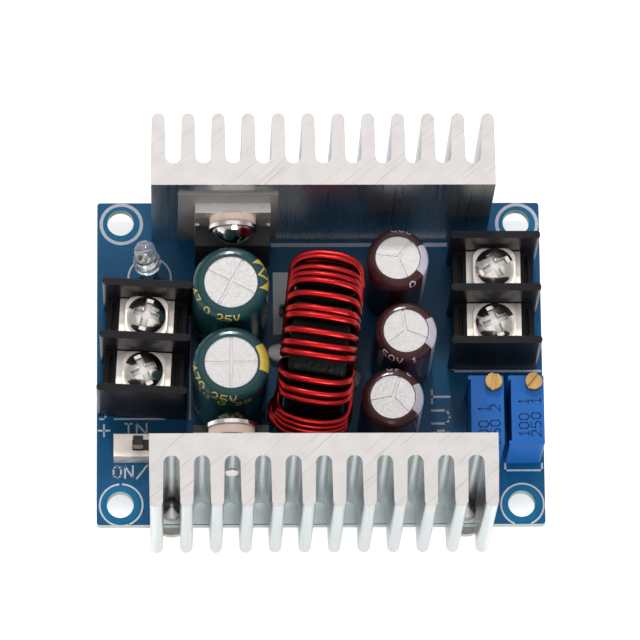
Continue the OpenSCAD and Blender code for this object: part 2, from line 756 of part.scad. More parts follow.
// Contact plate with its tapped hole, and the pin bent down from its inner end
module terminal_contacts() color("#cfc8bf")
    for (s = [-1, 1]) at_cell(s)
        difference() {
            union() {
                translate([-plate_l / 2, -plate_w / 2, contact_z - plate_t])
                    cube([plate_l, plate_w, plate_t]);
                translate([term_pin_x - term_pin_w / 2, -term_pin_t / 2, -board_t - lead_end])
                    cube([term_pin_w, term_pin_t, board_t + lead_end + contact_z - plate_t / 2]);
            }
            translate([0, 0, contact_z - plate_t - past])
                cylinder(h = plate_t + 2 * past, d = term_screw_d + 2 * running);
        }

// Square clamp with turned-down ends that bite the wire
module clamp(s, lift) color("#e0d8cf") at_cell(s)
    translate([0, 0, contact_z + rest_gap + lift])
        difference() {
            linear_extrude(clamp_t) polygon(round_rect(clamp_l, clamp_w, clamp_corner));
            translate([0, 0, -past])
                cylinder(h = clamp_t + 2 * past, d = term_screw_d + 2 * running);
            for (y = [-1, 1])
                translate([0, y * clamp_w / 2, -past]) cylinder(h = clamp_t / 2 + past, r = 0.5);
        }

module terminal_screw(s, lift, angle) color("#dcd6cf") at_cell(s)
    translate([0, 0, contact_z + clamp_t + 2 * rest_gap + lift]) rotate(angle) {
        pan_head(term_head_d, term_head_h, term_cross, term_head_d * pan_dome, slot = true);
        translate([0, 0, -term_shank_l + clamp_travel])
            cylinder(h = term_shank_l - clamp_travel, d = term_screw_d);
    }

// ---- Trimmers ----

module trimmer_body(i) color("#2c6cb8")
    translate([TRIM_X[i], trim_y, board_t])
        difference() {
            union() {
                translate([0, 0, trim_foot])
                    linear_extrude(trim_h - trim_foot) polygon(round_rect(trim_w, trim_d, 0.25));
                for (x = [-1, 1], y = [-1, 1])
                    translate([x * (trim_w / 2 - 0.7), y * (trim_d / 2 - 0.7), 0])
                        cylinder(h = trim_foot + 0.1, r = 0.45);
            }
            translate([trim_screw_x, trim_screw_y, trim_h - trim_shank_l])
                cylinder(h = trim_shank_l + past, d = trim_shank_d + 2 * running);
            for (s = [-1:1])
                translate([0, s * trim_pin_pitch, -past])
                    cylinder(h = past + trim_foot + 1, d = trim_pin_d + 2 * fit);
            translate([-trim_w / 2 - past, -trim_d / 2 + trim_rib, -past])
                cube([past + trim_recess, trim_d - 2 * trim_rib, trim_h + 2 * past]);
        }

module trimmer_screw(i, angle) color("#c79a56")
    translate([TRIM_X[i] + trim_screw_x, trim_y + trim_screw_y, board_t + trim_h + rest_gap])
        rotate(angle) {
            difference() {
                cylinder(h = trim_screw_out, d = trim_screw_d);
                translate([-trim_screw_d, -trim_slot_w / 2, trim_screw_out - trim_slot_h])
                    cube([2 * trim_screw_d, trim_slot_w, 1]);
            }
            translate([0, 0, -trim_shank_l + 0.3])
                cylinder(h = trim_shank_l - 0.3, d = trim_shank_d);
        }

module trimmer_pins() color("#c8c6c0")
    for (x = TRIM_X, p = trim_pins(x))
        translate([p[0], p[1], -lead_end])
            cylinder(h = lead_end + board_t + trim_foot + 1, r = p[2]);

// ---- Indicator lamp ----

module led_lens_shape() {
    difference() {
        cylinder(h = led_flange_h, d = led_d + 0.8);
        translate([led_d / 2 + 0.1, -led_d, -past]) cube([led_d, 2 * led_d, led_flange_h + 2 * past]);
    }
    cylinder(h = led_h - led_d / 2, d = led_d);
    translate([0, 0, led_h - led_d / 2]) sphere(d = led_d);
}

// Carries a child to where the lamp's leads bend over, and along its lean
module at_lamp() translate([led_x, led_y, board_t + led_bend])
    rotate([-led_lean, -led_lean / 2, 0]) children();

module indicator_leads() color("#c8c6c0") {
    r = led_lead_d / 2;
    for (p = LED_LEADS)
        translate([p[0], p[1], -lead_end]) cylinder(h = lead_end + board_t + led_bend, r = r);
    at_lamp()
        for (s = [-1, 1]) translate([s * led_pitch / 2, 0, 0]) {
            sphere(r = r);
            cylinder(h = led_lift - led_bend + led_flange_h, r = r);
        }
}

module indicator_lens() color("#e3e8ea")
    difference() {
        at_lamp() translate([0, 0, led_lift - led_bend]) led_lens_shape();
        indicator_leads();
    }

// ---- Slide switch, in a frame whose origin is under it on the board's top ----

module at_switch() translate([switch_x, switch_y, board_t]) children();

module switch_shell() color("#d8cabd") at_switch() {
    slot_l = knob_l + switch_travel + 2 * slide_gap;
    difference() {
        translate([-switch_l / 2, -switch_w / 2, 0.1]) cube([switch_l, switch_w, switch_h - 0.1]);
        translate([-switch_l / 2 + shell_t, -switch_w / 2 + shell_t, -past])
            cube([switch_l - 2 * shell_t, switch_w - 2 * shell_t, switch_h - shell_t + past]);
        translate([-slot_l / 2, -knob_w / 2 - slide_gap, 0])
            cube([slot_l, knob_w + 2 * slide_gap, switch_h + past]);
    }
}

module switch_base() color("#3a2c22") at_switch()
    difference() {
        translate([-switch_l / 2 + shell_t + fit, -switch_w / 2 + shell_t + fit, 0.1])
            cube([switch_l - 2 * shell_t - 2 * fit, switch_w - 2 * shell_t - 2 * fit, switch_floor]);
        for (s = [-1:1])
            translate([s * switch_pin_pitch - 0.25 - fit, -0.15 - fit, -past])
                cube([0.5 + 2 * fit, 0.3 + 2 * fit, switch_floor + 2 * past]);
    }

module switch_slider() color("#1a1a1c") at_switch()
    translate([-switch_travel / 2, 0, 0]) {
        carrier_l = switch_l - 2 * shell_t - switch_travel - 2 * slide_gap;
        top = switch_h - shell_t - slide_gap;
        translate([-carrier_l / 2, -switch_w / 2 + shell_t + slide_gap, top - carrier_h])
            cube([carrier_l, switch_w - 2 * shell_t - 2 * slide_gap, carrier_h]);
        translate([-knob_l / 2, -knob_w / 2, top - 0.1])
            cube([knob_l, knob_w, knob_h + shell_t + slide_gap + 0.1]);
    }

module switch_pins() color("#c8c6c0") at_switch()
    for (s = [-1:1])
        translate([s * switch_pin_pitch - 0.25, -0.15, -board_t - lead_end])
            cube([0.5, 0.3, board_t + lead_end + switch_floor + 0.5]);

// ---- Parts under the board ----

module small_chip(place) color("#1b1b1d")
    translate([place[0], place[1], -CHIP[2] - chip_stand]) linear_extrude(CHIP[2])
        polygon(round_rect(CHIP[0], CHIP[1], 0.15));

// Gull-wing leads: out of the chip's side, then down to the board
module chip_leads() color("#c8c6c0") {
    run = 1.05;
    for (place = [CONTROLLER, AMPLIFIER], i = [0:3], s = [0, 180])
        translate([place[0], place[1], 0]) rotate(s)
            translate([(i - 1.5) * chip_lead_pitch - chip_lead_w / 2, CHIP[1] / 2, 0])
                rotate([90, 0, 90]) linear_extrude(chip_lead_w)
                polygon([[0, -0.85], [0.4, -0.85], [0.55, -0.2], [run, -0.2], [run, 0],
                         [0.4, 0], [0.25, -0.65], [0, -0.65]]);
}

module shunt_resistor() color("#2a2a2c")
    translate([SHUNT[0], SHUNT[1], -SHUNT_SIZE[2]]) linear_extrude(SHUNT_SIZE[2])
        polygon(round_rect(SHUNT_SIZE[0], SHUNT_SIZE[1], 0.2));

module chip(place, size)
    translate([place[0] - size[0] / 2, place[1] - size[1] / 2, -size[2]]) cube(size);

module chip_resistors() color("#202022")
    for (p = [[4.4, 9], [4.4, 6.6], [7, 2.6], [2.5, 1.6], [2.5, -0.6], [16, -4.6], [18.6, -4.6], [16, 7]])
        chip(p, CHIP_RESISTOR);

module chip_capacitors() color("#b49a74")
    for (p = [[-4.8, 3.1], [-4.8, 0.6], [5.2, -3.6], [15.5, 11], [-4.4, 12.6], [16.2, -12]])
        chip(p, CHIP_CAPACITOR);

circuit_board();
solder_joints();
heatsink(REAR);  // rear_heatsink
heatsink(FRONT);  // front_heatsink
heatsink_screws();
device_body(REAR);  // transistor_body
device_tab(REAR);  // transistor_tab
device_leads(REAR);  // transistor_leads
device_body(FRONT);  // rectifier_body
device_tab(FRONT);  // rectifier_tab
device_leads(FRONT);  // rectifier_leads
insulating_pad(REAR);  // rear_insulating_pad
insulating_pad(FRONT);  // front_insulating_pad
insulating_bushings();
device_screws();
input_can(0);  // input_capacitor_can_1
input_can(1);  // input_capacitor_can_2
output_can(0);  // output_capacitor_can_1
output_can(1);  // output_capacitor_can_2
output_can(2);  // output_capacitor_can_3
input_sleeve(0);  // input_capacitor_sleeve_1
input_sleeve(1);  // input_capacitor_sleeve_2
output_sleeve(0);  // output_capacitor_sleeve_1
output_sleeve(1);  // output_capacitor_sleeve_2
output_sleeve(2);  // output_capacitor_sleeve_3
capacitor_bungs();
capacitor_leads();
inductor_core();
inductor_winding();
inductor_adhesive();
at_input() terminal_housing();  // input_terminal_housing
at_output() terminal_housing();  // output_terminal_housing
at_input() terminal_contacts();  // input_terminal_contacts
at_output() terminal_contacts();  // output_terminal_contacts
at_input() clamp(1, raised_by);  // input_clamp_1
at_input() clamp(-1, 0);  // input_clamp_2
at_output() clamp(1, raised_by);  // output_clamp_1
at_output() clamp(-1, 0);  // output_clamp_2
at_input() terminal_screw(1, raised_by, INPUT_TURNS[0]);  // input_screw_1
at_input() terminal_screw(-1, 0, INPUT_TURNS[1]);  // input_screw_2
at_output() terminal_screw(1, raised_by, OUTPUT_TURNS[0]);  // output_screw_1
at_output() terminal_screw(-1, 0, OUTPUT_TURNS[1]);  // output_screw_2
trimmer_body(0);  // voltage_trimmer_body
trimmer_body(1);  // current_trimmer_body
trimmer_screw(0, TRIM_TURNS[0]);  // voltage_trimmer_screw
trimmer_screw(1, TRIM_TURNS[1]);  // current_trimmer_screw
trimmer_pins();
indicator_lens();
indicator_leads();
switch_shell();
switch_base();
switch_slider();
switch_pins();
small_chip(CONTROLLER);  // controller_chip
small_chip(AMPLIFIER);  // amplifier_chip
chip_leads();
shunt_resistor();
chip_resistors();
chip_capacitors();
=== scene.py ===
# %% [markdown]
# # A step-down power converter
#
# This file dresses a small power module: a blue circuit board between two finned heatsinks, with
# screw terminals, upright capacitors and a choke wound in red wire. The solids come ready made and
# to size, so nearly every piece keeps its own form and only gets a surface. What a solid can't
# show well, such as round wire, clear resin, molten solder and ink, is made here as mesh.

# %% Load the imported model
from math import asin, cos, degrees, pi, radians, sin, tau

import bmesh
import bpy
from mathutils import Euler, Matrix, Vector, noise


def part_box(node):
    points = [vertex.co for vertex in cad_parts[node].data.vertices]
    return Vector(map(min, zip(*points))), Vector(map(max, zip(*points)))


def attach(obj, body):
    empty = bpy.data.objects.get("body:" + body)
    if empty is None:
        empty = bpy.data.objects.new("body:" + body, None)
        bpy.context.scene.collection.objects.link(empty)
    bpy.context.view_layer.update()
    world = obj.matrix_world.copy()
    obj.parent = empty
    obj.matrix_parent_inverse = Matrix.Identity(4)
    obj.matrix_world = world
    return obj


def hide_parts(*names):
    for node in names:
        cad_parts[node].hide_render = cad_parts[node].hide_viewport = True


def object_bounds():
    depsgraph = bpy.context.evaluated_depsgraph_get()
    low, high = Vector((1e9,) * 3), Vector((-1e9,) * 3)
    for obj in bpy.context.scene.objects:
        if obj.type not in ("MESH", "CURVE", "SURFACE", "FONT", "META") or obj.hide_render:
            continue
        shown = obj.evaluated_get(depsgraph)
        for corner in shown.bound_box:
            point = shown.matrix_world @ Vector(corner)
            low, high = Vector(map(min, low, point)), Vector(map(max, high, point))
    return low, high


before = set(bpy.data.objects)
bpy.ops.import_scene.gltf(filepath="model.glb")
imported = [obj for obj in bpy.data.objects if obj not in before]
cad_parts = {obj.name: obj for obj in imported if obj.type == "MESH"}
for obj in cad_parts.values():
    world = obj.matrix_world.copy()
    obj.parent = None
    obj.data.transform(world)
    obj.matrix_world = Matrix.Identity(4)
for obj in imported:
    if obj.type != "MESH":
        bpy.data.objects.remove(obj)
solid_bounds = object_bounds()
MM = 0.001

# %% [markdown]
# ## The camera
#
# The module was seen from above and slightly in front with a long lens, so its upright sides
# show only as narrow bands. A long lens keeps parallel edges parallel, which is how a catalogue
# likes to show a board. The camera's three axes are given by small turns about X and Z.

# %% Camera
camera = bpy.data.objects.new("camera", bpy.data.cameras.new("camera"))
camera.data.sensor_width = 36
camera.data.lens = 297
camera.data.clip_end = 20
camera.location = Vector((-20.35, -192.61, 686.19)) * MM
camera.rotation_euler = (
    Matrix.Rotation(-0.1026, 3, "Z") @ Matrix.Rotation(0.2837, 3, "X") @ Matrix.Rotation(0.0966, 3, "Z")
).to_euler()
bpy.context.scene.collection.objects.link(camera)
bpy.context.scene.camera = camera
print("camera stands", round(camera.location.length / MM), "mm away")

# %% [markdown]
# ## A few helpers
#
# Colours are written as sRGB hex values, the way a paint chart or a web page gives them. Blender
# mixes light in linear values, so one function converts them. Another adds a shader node, sets it
# up and links it in one line, so that a material reads from top to bottom like a recipe. Flat
# shapes are lists of corners in mm.

# %% Colour, nodes and flat shapes
def linear(hex_colour):
    """An sRGB hex colour, such as "#1f4f78", as linear red, green, blue and alpha."""
    shares = [int(hex_colour[i : i + 2], 16) / 255 for i in (1, 3, 5)]
    return [c / 12.92 if c <= 0.04045 else ((c + 0.055) / 1.055) ** 2.4 for c in shares] + [1]


def add(tree, kind, sockets=(), **settings):
    """Adds a shader node. A socket gets a link where its value is another node's output."""
    made = tree.nodes.new("ShaderNode" + kind)
    for name, value in settings.items():
        setattr(made, name, value)
    for name, value in dict(sockets).items():
        if isinstance(value, bpy.types.NodeSocket):
            tree.links.new(value, made.inputs[name])
        else:
            made.inputs[name].default_value = value
    return made


def new_material(name, **sockets):
    """A material with one Principled shader. Underscores in a socket's name stand for spaces."""
    made = bpy.data.materials.new(name)
    made.use_nodes = True
    shader = made.node_tree.nodes["Principled BSDF"]
    for socket, value in sockets.items():
        shader.inputs[socket.replace("_", " ")].default_value = value
    return made, made.node_tree, shader


def place_in_mm(tree, stretch=(1, 1, 1), turn=(0, 0, 0)):
    """The point being shaded, in millimetres on its own piece, turned and then stretched."""
    here = add(tree, "TexCoord").outputs["Object"]
    turned = add(tree, "VectorRotate", {"Vector": here, "Rotation": turn}, rotation_type="EULER_XYZ")
    scale = [1000 * s for s in stretch]
    return add(tree, "VectorMath", {0: turned.outputs[0], 1: scale}, operation="MULTIPLY").outputs[0]


def link(tree, output, shader, socket):
    tree.links.new(output, shader.inputs[socket])


def two_tone(tree, share, first, second):
    """A mix of two colours by a share from 0 to 1. Each is a hex colour or a node's output."""
    first, second = (linear(c) if isinstance(c, str) else c for c in (first, second))
    return add(tree, "MixRGB", {"Fac": share, "Color1": first, "Color2": second})


def remap(tree, value, from_min, from_max, to_min, to_max):
    """A value stretched from one range to another, and held at its ends."""
    ends = {"From Min": from_min, "From Max": from_max, "To Min": to_min, "To Max": to_max}
    return add(tree, "MapRange", {"Value": value, **ends})


def mottled(name, dark, light, scale, detail, **sockets):
    """A plain coating whose colour drifts between two, in patches of about 1 / scale mm."""
    made, tree, shader = new_material(name, **sockets)
    patches = add(tree, "TexNoise", {"Vector": place_in_mm(tree), "Scale": scale, "Detail": detail})
    link(tree, two_tone(tree, patches.outputs[0], dark, light).outputs[0], shader, "Base Color")
    return made


def rectangle(x0, y0, x1, y1):
    return [(x0, y0), (x1, y0), (x1, y1), (x0, y1)]


print("light grey", [round(c, 3) for c in linear("#d3d3d3")])

# %% [markdown]
# ## The studio
#
# The module stands on white paper in a white tent, so most of its light comes from all round. A
# small lamp behind it gives the metal and the wire their sparks, and a second one shines in from
# the front, between the fins. The world is white to the camera and to clear resin. Glossy surfaces
# see a bright roof, a dim band below it and a white horizon, which draws the dark crescents on a
# polished screw. All else sees one plain level, chosen so that a surface comes out in about the
# colour written for it. The paper has one side only: from below, the module's underside shows.

# %% Studio
AMBIENT = 0.72
TENT = ((0.2, 0.8), (0.42, 0.42), (0.74, 0.45), (0.88, 1.0))
PAPER_HALF = 2
PAPER_Z = solid_bounds[0][2] - 0.05 * MM
WHITE = (1, 1, 1, 1)
sheet_mesh = bpy.data.meshes.new("paper")
sheet_corners = [(x, y, PAPER_Z) for x, y in rectangle(-PAPER_HALF, -PAPER_HALF, PAPER_HALF, PAPER_HALF)]
sheet_mesh.from_pydata(sheet_corners, [], [(0, 1, 2, 3)])
paper = bpy.data.objects.new("paper", sheet_mesh)
bpy.context.scene.collection.objects.link(paper)

paper_white, tree, shader = new_material("white_paper", Roughness=0.9, Specular_IOR_Level=0.1)
grain = add(tree, "TexNoise", {"Vector": place_in_mm(tree), "Scale": 0.8, "Detail": 3})
sheet = two_tone(tree, grain.outputs[0], "#eeeeee", "#f4f4f4")
link(tree, sheet.outputs[0], shader, "Base Color")
rays = add(tree, "LightPath")
mirrored = add(tree, "Math", {0: rays.outputs["Is Glossy Ray"], 1: 0.3}, operation="MULTIPLY")
seen = add(tree, "Math", {0: rays.outputs["Is Camera Ray"], 1: 0.6}, operation="MULTIPLY")
shown = add(tree, "Math", {0: mirrored.outputs[0], 1: seen.outputs[0]}, operation="ADD")
link(tree, shown.outputs[0], shader, "Emission Strength")
shader.inputs["Emission Color"].default_value = WHITE
from_below = add(tree, "NewGeometry").outputs["Backfacing"]
nothing = add(tree, "BsdfTransparent")
one_sided = add(tree, "MixShader", {0: from_below, 1: shader.outputs[0], 2: nothing.outputs[0]})
tree.links.new(one_sided.outputs[0], tree.nodes["Material Output"].inputs["Surface"])
paper.data.materials.append(paper_white)

world = bpy.data.worlds.new("room")
world.use_nodes = True
bpy.context.scene.world = world
room = world.node_tree
rays = add(room, "LightPath")
straight = {0: rays.outputs["Is Camera Ray"], 1: rays.outputs["Is Transmission Ray"]}
clear = add(room, "Math", straight, operation="MAXIMUM")
up = add(room, "SeparateXYZ", {0: add(room, "TexCoord").outputs["Generated"]})
tent = add(room, "ValToRGB", {"Fac": up.outputs["Z"]})
for end in tent.color_ramp.elements:
    end.color = WHITE
for height, grey in TENT:
    tent.color_ramp.elements.new(height).color = (grey, grey, grey, 1)
lit = add(room, "Mix", {0: rays.outputs["Is Glossy Ray"], 2: AMBIENT, 3: tent.outputs["Color"]})
level = add(room, "Mix", {0: clear.outputs[0], 2: lit.outputs[0], 3: 1.0})
room.links.new(level.outputs[0], room.nodes["Background"].inputs["Strength"])
room.nodes["Background"].inputs["Color"].default_value = WHITE


def soft_box(name, place, size, watts):
    """A square area lamp, its face turned to the middle of the module."""
    lamp = bpy.data.lights.new(name, "AREA")
    lamp.size = size
    lamp.energy = watts
    holder = bpy.data.objects.new(name, lamp)
    holder.location = place
    holder.rotation_euler = (-Vector(place)).to_track_quat("-Z", "Y").to_euler()
    bpy.context.scene.collection.objects.link(holder)


soft_box("key", (-0.02, 0.5, 0.78), 0.06, 1.75)
soft_box("fill", (0.1, -0.7, 0.5), 0.3, 3.2)
bpy.context.scene.view_settings.view_transform = "Standard"

# %% [markdown]
# ## Dressing the solids
#
# A solid that already has the right form keeps it. It only gets a material, smooth shading where
# its faces are parts of one curve, and its real corners: the Bevel node rounds an edge for the
# light alone, by a tenth of a millimetre or so, which is what a moulded or stamped edge has.

# %% Give a material to CAD nodes
def dress(made, *names):
    for name in names:
        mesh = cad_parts[name].data
        mesh.materials.clear()
        mesh.materials.append(made)
        mesh.shade_smooth()
        mesh.set_sharp_from_angle(angle=radians(32))


def soft_edges(tree, shader, radius_mm, bump=None):
    """Rounds the edges for the light, under a bump if there is one."""
    rounded = add(tree, "Bevel", {"Radius": radius_mm * MM}, samples=6)
    if bump is None:
        link(tree, rounded.outputs[0], shader, "Normal")
    else:
        tree.links.new(rounded.outputs[0], bump.inputs["Normal"])
        link(tree, bump.outputs[0], shader, "Normal")


def centre(name):
    box_low, box_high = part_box(name)
    return (box_low + box_high) / 2


def new_piece(name, mesh, made, body, slot, *nodes):
    """A mesh of this file's own, shown in place of the CAD nodes given."""
    piece = bpy.data.objects.new(name, mesh)
    bpy.context.scene.collection.objects.link(piece)
    mesh.materials.append(made)
    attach(piece, body)
    if nodes:
        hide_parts(*nodes)
    return piece


BOARD_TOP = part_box("circuit_board")[1].z / MM
print("board top at", round(BOARD_TOP, 2), "mm")

# %% [markdown]
# ## The circuit board
#
# The board is glass cloth in epoxy, under a glossy blue solder mask that is brushed or sprayed on
# as a varnish. Copper lies under the mask, so the mask is a little lighter over a copper area and
# the cloth's weave shows faintly beside it. The sawn edge has no mask: it is pale and rough.

# %% Solder mask
HOLE_X, HOLE_Y = 53.7 / 2, 39.4 / 2


def make_solder_mask():
    made, tree, shader = new_material("solder_mask_on_glass_epoxy", Roughness=0.24, Specular_IOR_Level=0.2)
    cloud = add(tree, "TexNoise", {"Vector": place_in_mm(tree), "Scale": 0.09, "Detail": 2})
    weave = add(tree, "TexNoise", {"Vector": place_in_mm(tree, (1, 1, 0.2)), "Scale": 2.2, "Detail": 3})
    shade = two_tone(tree, cloud.outputs[0], "#06436b", "#0c608d")
    spread = add(tree, "VectorMath", {0: place_in_mm(tree, (1, 1, 0))}, operation="ABSOLUTE")
    to_hole = {0: spread.outputs[0], 1: (HOLE_X, HOLE_Y, 0)}
    from_hole = add(tree, "VectorMath", to_hole, operation="DISTANCE")
    land = add(tree, "Math", {0: from_hole.outputs["Value"], 1: 2.6}, operation="LESS_THAN")
    copper = two_tone(tree, land.outputs[0], shade.outputs[0], "#056791")
    speck = remap(tree, weave.outputs[0], 0.3, 0.7, 0.92, 1.06)
    mask = add(tree, "VectorMath", {0: copper.outputs[0], "Scale": speck.outputs[0]}, operation="SCALE")
    facing = add(tree, "SeparateXYZ", {0: add(tree, "NewGeometry").outputs["True Normal"]})
    upright = add(tree, "Math", {0: facing.outputs["Z"]}, operation="ABSOLUTE")
    flat = add(tree, "Math", {0: upright.outputs[0], 1: 0.5}, operation="GREATER_THAN")
    glass = add(tree, "TexNoise", {"Vector": place_in_mm(tree, (1, 1, 6)), "Scale": 1.5})
    edge = two_tone(tree, glass.outputs[0], "#8fa6a0", "#b9c4b4")
    both = two_tone(tree, flat.outputs[0], edge.outputs[0], mask.outputs[0])
    link(tree, both.outputs[0], shader, "Base Color")
    bump = add(tree, "Bump", {"Height": weave.outputs[0], "Strength": 0.2, "Distance": 0.01 * MM})
    link(tree, bump.outputs[0], shader, "Normal")
    return made


dress(make_solder_mask(), "circuit_board")

# %% [markdown]
# ## The printed legend
#
# White ink is screened onto the mask in a layer some hundredths of a millimetre thick. It is made
# as one thin mesh: rings, and strokes of one width, the way a board's plotter draws its words. The
# ink is slightly grey because the blue shows through.

# %% Ink shapes
INK_Z = BOARD_TOP + 0.02
ink = bmesh.new()


def bar(x0, y0, x1, y1):
    ink.faces.new([ink.verts.new((x, y, INK_Z)) for x, y in rectangle(x0, y0, x1, y1)])


def ring(x, y, outer, inner, start=0, end=360, steps=72):
    """A flat ring, or the part of it from one angle to another."""
    turns = [radians(start + (end - start) * i / steps) for i in range(steps + 1)]
    rims = [[ink.verts.new((x + r * cos(t), y + r * sin(t), INK_Z)) for t in turns] for r in (inner, outer)]
    for i in range(steps):
        ink.faces.new((rims[0][i], rims[1][i], rims[1][i + 1], rims[0][i + 1]))


def stroke_shapes(width, points):
    """The line from point to point as four-cornered shapes of one width."""
    shapes = []
    for start, end in zip(points, points[1:]):
        start, end = Vector(start), Vector(end)
        along = (end - start).normalized() * width / 2
        across = Vector((-along.y, along.x))
        shapes.append([tuple(v) for v in (
            start - along - across, end + along - across, end + along + across, start - along + across)])
    return shapes


def stroke(width, *points):
    for shape in stroke_shapes(width, points):
        ink.faces.new([ink.verts.new((x, y, INK_Z)) for x, y in shape])


PEN = 0.24
for side in (-1, 1):
    ring(side * HOLE_X + 0.12, HOLE_Y - 0.2, 2.95, 2.5)
ring(-HOLE_X + 0.12, -HOLE_Y - 0.05, 2.98, 2.74, 95, 290)
ring(-HOLE_X + 0.12, -HOLE_Y - 0.05, 2.98, 2.74, -67, 88)
ring(HOLE_X + 0.1, -HOLE_Y - 0.1, 2.98, 2.74, -67, 248)
ring(-22.9, 11.9, 3.0, 2.74)
bar(-6.5, 16.25, 17.44, 16.8)
stroke(PEN, (-27.6, -7.85), (-21.0, -7.85))
stroke(PEN, (-28.85, -6.4), (-28.85, -7.85), (-29.55, -7.85))
stroke(PEN, (-17.5, 6.6), (-17.5, -7.85))
stroke(PEN + 0.08, (17.95, -0.8), (17.95, -1.28), (29.7, -1.28))
stroke(PEN, (24.75, -14.2), (24.75, -15.1), (29.68, -15.1), (29.68, -14.2))
print("outlines drawn, ink faces", len(ink.faces))

# %% [markdown]
# ## A plotter's letters
#
# A board's words and the figures on a capacitor are drawn by one pen, so each letter is a list of
# strokes in a box 1 high. The same strokes serve flat on the board, on a trimmer and, bent, round a
# sleeve. Only plain words, signs and figures are written.

# %% Letters as strokes
ROUND = [(0, 0.2), (0.2, 0), (0.42, 0), (0.62, 0.2), (0.62, 0.8), (0.42, 1), (0.2, 1), (0, 0.8), (0, 0.2)]
LETTERS = {
    "O": [ROUND],
    "0": [ROUND],
    "/": [[(0, -0.05), (0.85, 1.05)]],
    "-": [[(0.05, 0.5), (0.6, 0.5)]],
    "+": [[(0, 0.5), (0.95, 0.5)], [(0.475, 0), (0.475, 1)]],
    "I": [[(0.2, 0), (0.2, 1)], [(0, 0), (0.4, 0)], [(0, 1), (0.4, 1)]],
    "N": [[(0, 0), (0, 1), (0.65, 0), (0.65, 1)]],
    "T": [[(0, 1), (0.62, 1)], [(0.31, 1), (0.31, 0)]],
    "U": [[(0, 1), (0, 0.2), (0.2, 0), (0.42, 0), (0.62, 0.2), (0.62, 1)]],
    "V": [[(0, 1), (0.31, 0), (0.62, 1)]],
    "1": [[(0.1, 0.8), (0.31, 1), (0.31, 0)], [(0.1, 0), (0.52, 0)]],
    "2": [[(0, 0.85), (0.2, 1), (0.45, 1), (0.6, 0.8), (0.6, 0.6), (0, 0), (0.62, 0)]],
    "4": [[(0.62, 0.3), (0, 0.3), (0.45, 1), (0.45, 0)]],
    "5": [[(0.6, 1), (0.05, 1), (0, 0.55), (0.4, 0.6), (0.62, 0.4), (0.6, 0.1), (0.4, 0), (0, 0.05)]],
    "7": [[(0, 1), (0.62, 1), (0.2, 0)]],
}
SPACE, BETWEEN = 0.4, 0.34


def writing(text, x, y, tall, pen, turn=0, wide=1.0):
    """Shapes for a line of text. Its first letter's lower left corner is at x, y."""
    shapes, reach = [], 0
    tilt = Matrix.Rotation(radians(turn), 2)
    for letter in text:
        lines = LETTERS.get(letter, [])
        for line in lines:
            spots = [Vector(((reach + px * wide) * tall, py * tall)) for px, py in line]
            shapes += stroke_shapes(pen, [Vector((x, y)) + tilt @ spot for spot in spots])
        reach += (max((px for line in lines for px, _ in line), default=SPACE) + BETWEEN) * wide
    return shapes


words = writing("+", -29.75, -10.2, 1.5, PEN) + writing("IN", -26.15, -10.0, 1.5, PEN, wide=1.35)
words += writing("ON/", -27.75, -16.0, 1.6, PEN) + writing("OUT", 17.4, -11.4, 2.35, 0.3, 90, 1.25)
for shape in words:
    ink.faces.new([ink.verts.new((x, y, INK_Z)) for x, y in shape])
print("with words", len(ink.faces))

# %% Ink material and piece
legend_ink = mottled("white_legend_ink", "#a9adbd", "#d3d5de", 2.5, 4, Roughness=0.55)
ink_mesh = bpy.data.meshes.new("printed_legend")
for vertex in ink.verts:
    vertex.co *= MM
ink.to_mesh(ink_mesh)
new_piece("printed_legend", ink_mesh, legend_ink, "module", "board_blue")
print("legend spans", [round(v / MM, 1) for v in (ink_mesh.vertices[0].co)])

# %% [markdown]
# ## Bare copper, tinned
#
# Where a heatsink stands and where the choke's current flows, the mask is left open and the copper
# is tinned. The tin is a pale grey-green and satin, because it froze under flux. Its colour is lifted
# nearly to white as painted light, for the light that reaches into the fin slots and under the choke.
# Each opening is a sheet laid just above the board.

# %% Tinned openings in the mask
def make_tinned_copper(name, dark, light):
    made, tree, shader = new_material(name, Roughness=0.5, Specular_IOR_Level=0.3)
    frost = add(tree, "TexNoise", {"Vector": place_in_mm(tree, (1, 0.5, 1)), "Scale": 0.6, "Detail": 4})
    tone = two_tone(tree, frost.outputs[0], dark, light)
    link(tree, tone.outputs[0], shader, "Base Color")
    bump = add(tree, "Bump", {"Height": frost.outputs[0], "Strength": 0.4, "Distance": 0.03 * MM})
    link(tree, bump.outputs[0], shader, "Normal")
    return made


def opening(name, made, x0, y0, x1, y1):
    mesh = bpy.data.meshes.new(name)
    corners = [Vector((x, y, INK_Z)) * MM for x, y in rectangle(x0, y0, x1, y1)]
    mesh.from_pydata(corners, [], [(0, 1, 2, 3)])
    new_piece(name, mesh, made, "module", "tinned_copper")


# Painted light: both tins are lifted nearly to white to make up for the shade in the fin slots and under
# the choke.
frosted = make_tinned_copper("frosted_tin_with_painted_light", "#dbe7e6", "#f1f6f5")
opening("front_heatsink_land", frosted, -21.6, -22.4, 21.4, -16.55)
opening("rear_heatsink_land", frosted, -21.5, 17.25, 21.5, 22.4)
opening("choke_land", make_tinned_copper("choke_tin_with_painted_light", "#d3dcdf", "#eaf0f1"), -6.25, 3.9, -1.5, 12.65)

# %% [markdown]
# ## The heatsinks
#
# Each heatsink is sawn from a long aluminium extrusion. The die leaves fine lines along the bar,
# which here run upwards, and the long faces stay bright. The saw leaves a matt, almost white end
# with faint slanting marks. One material does both: the direction that a face looks in says
# whether it was sawn or drawn through the die.

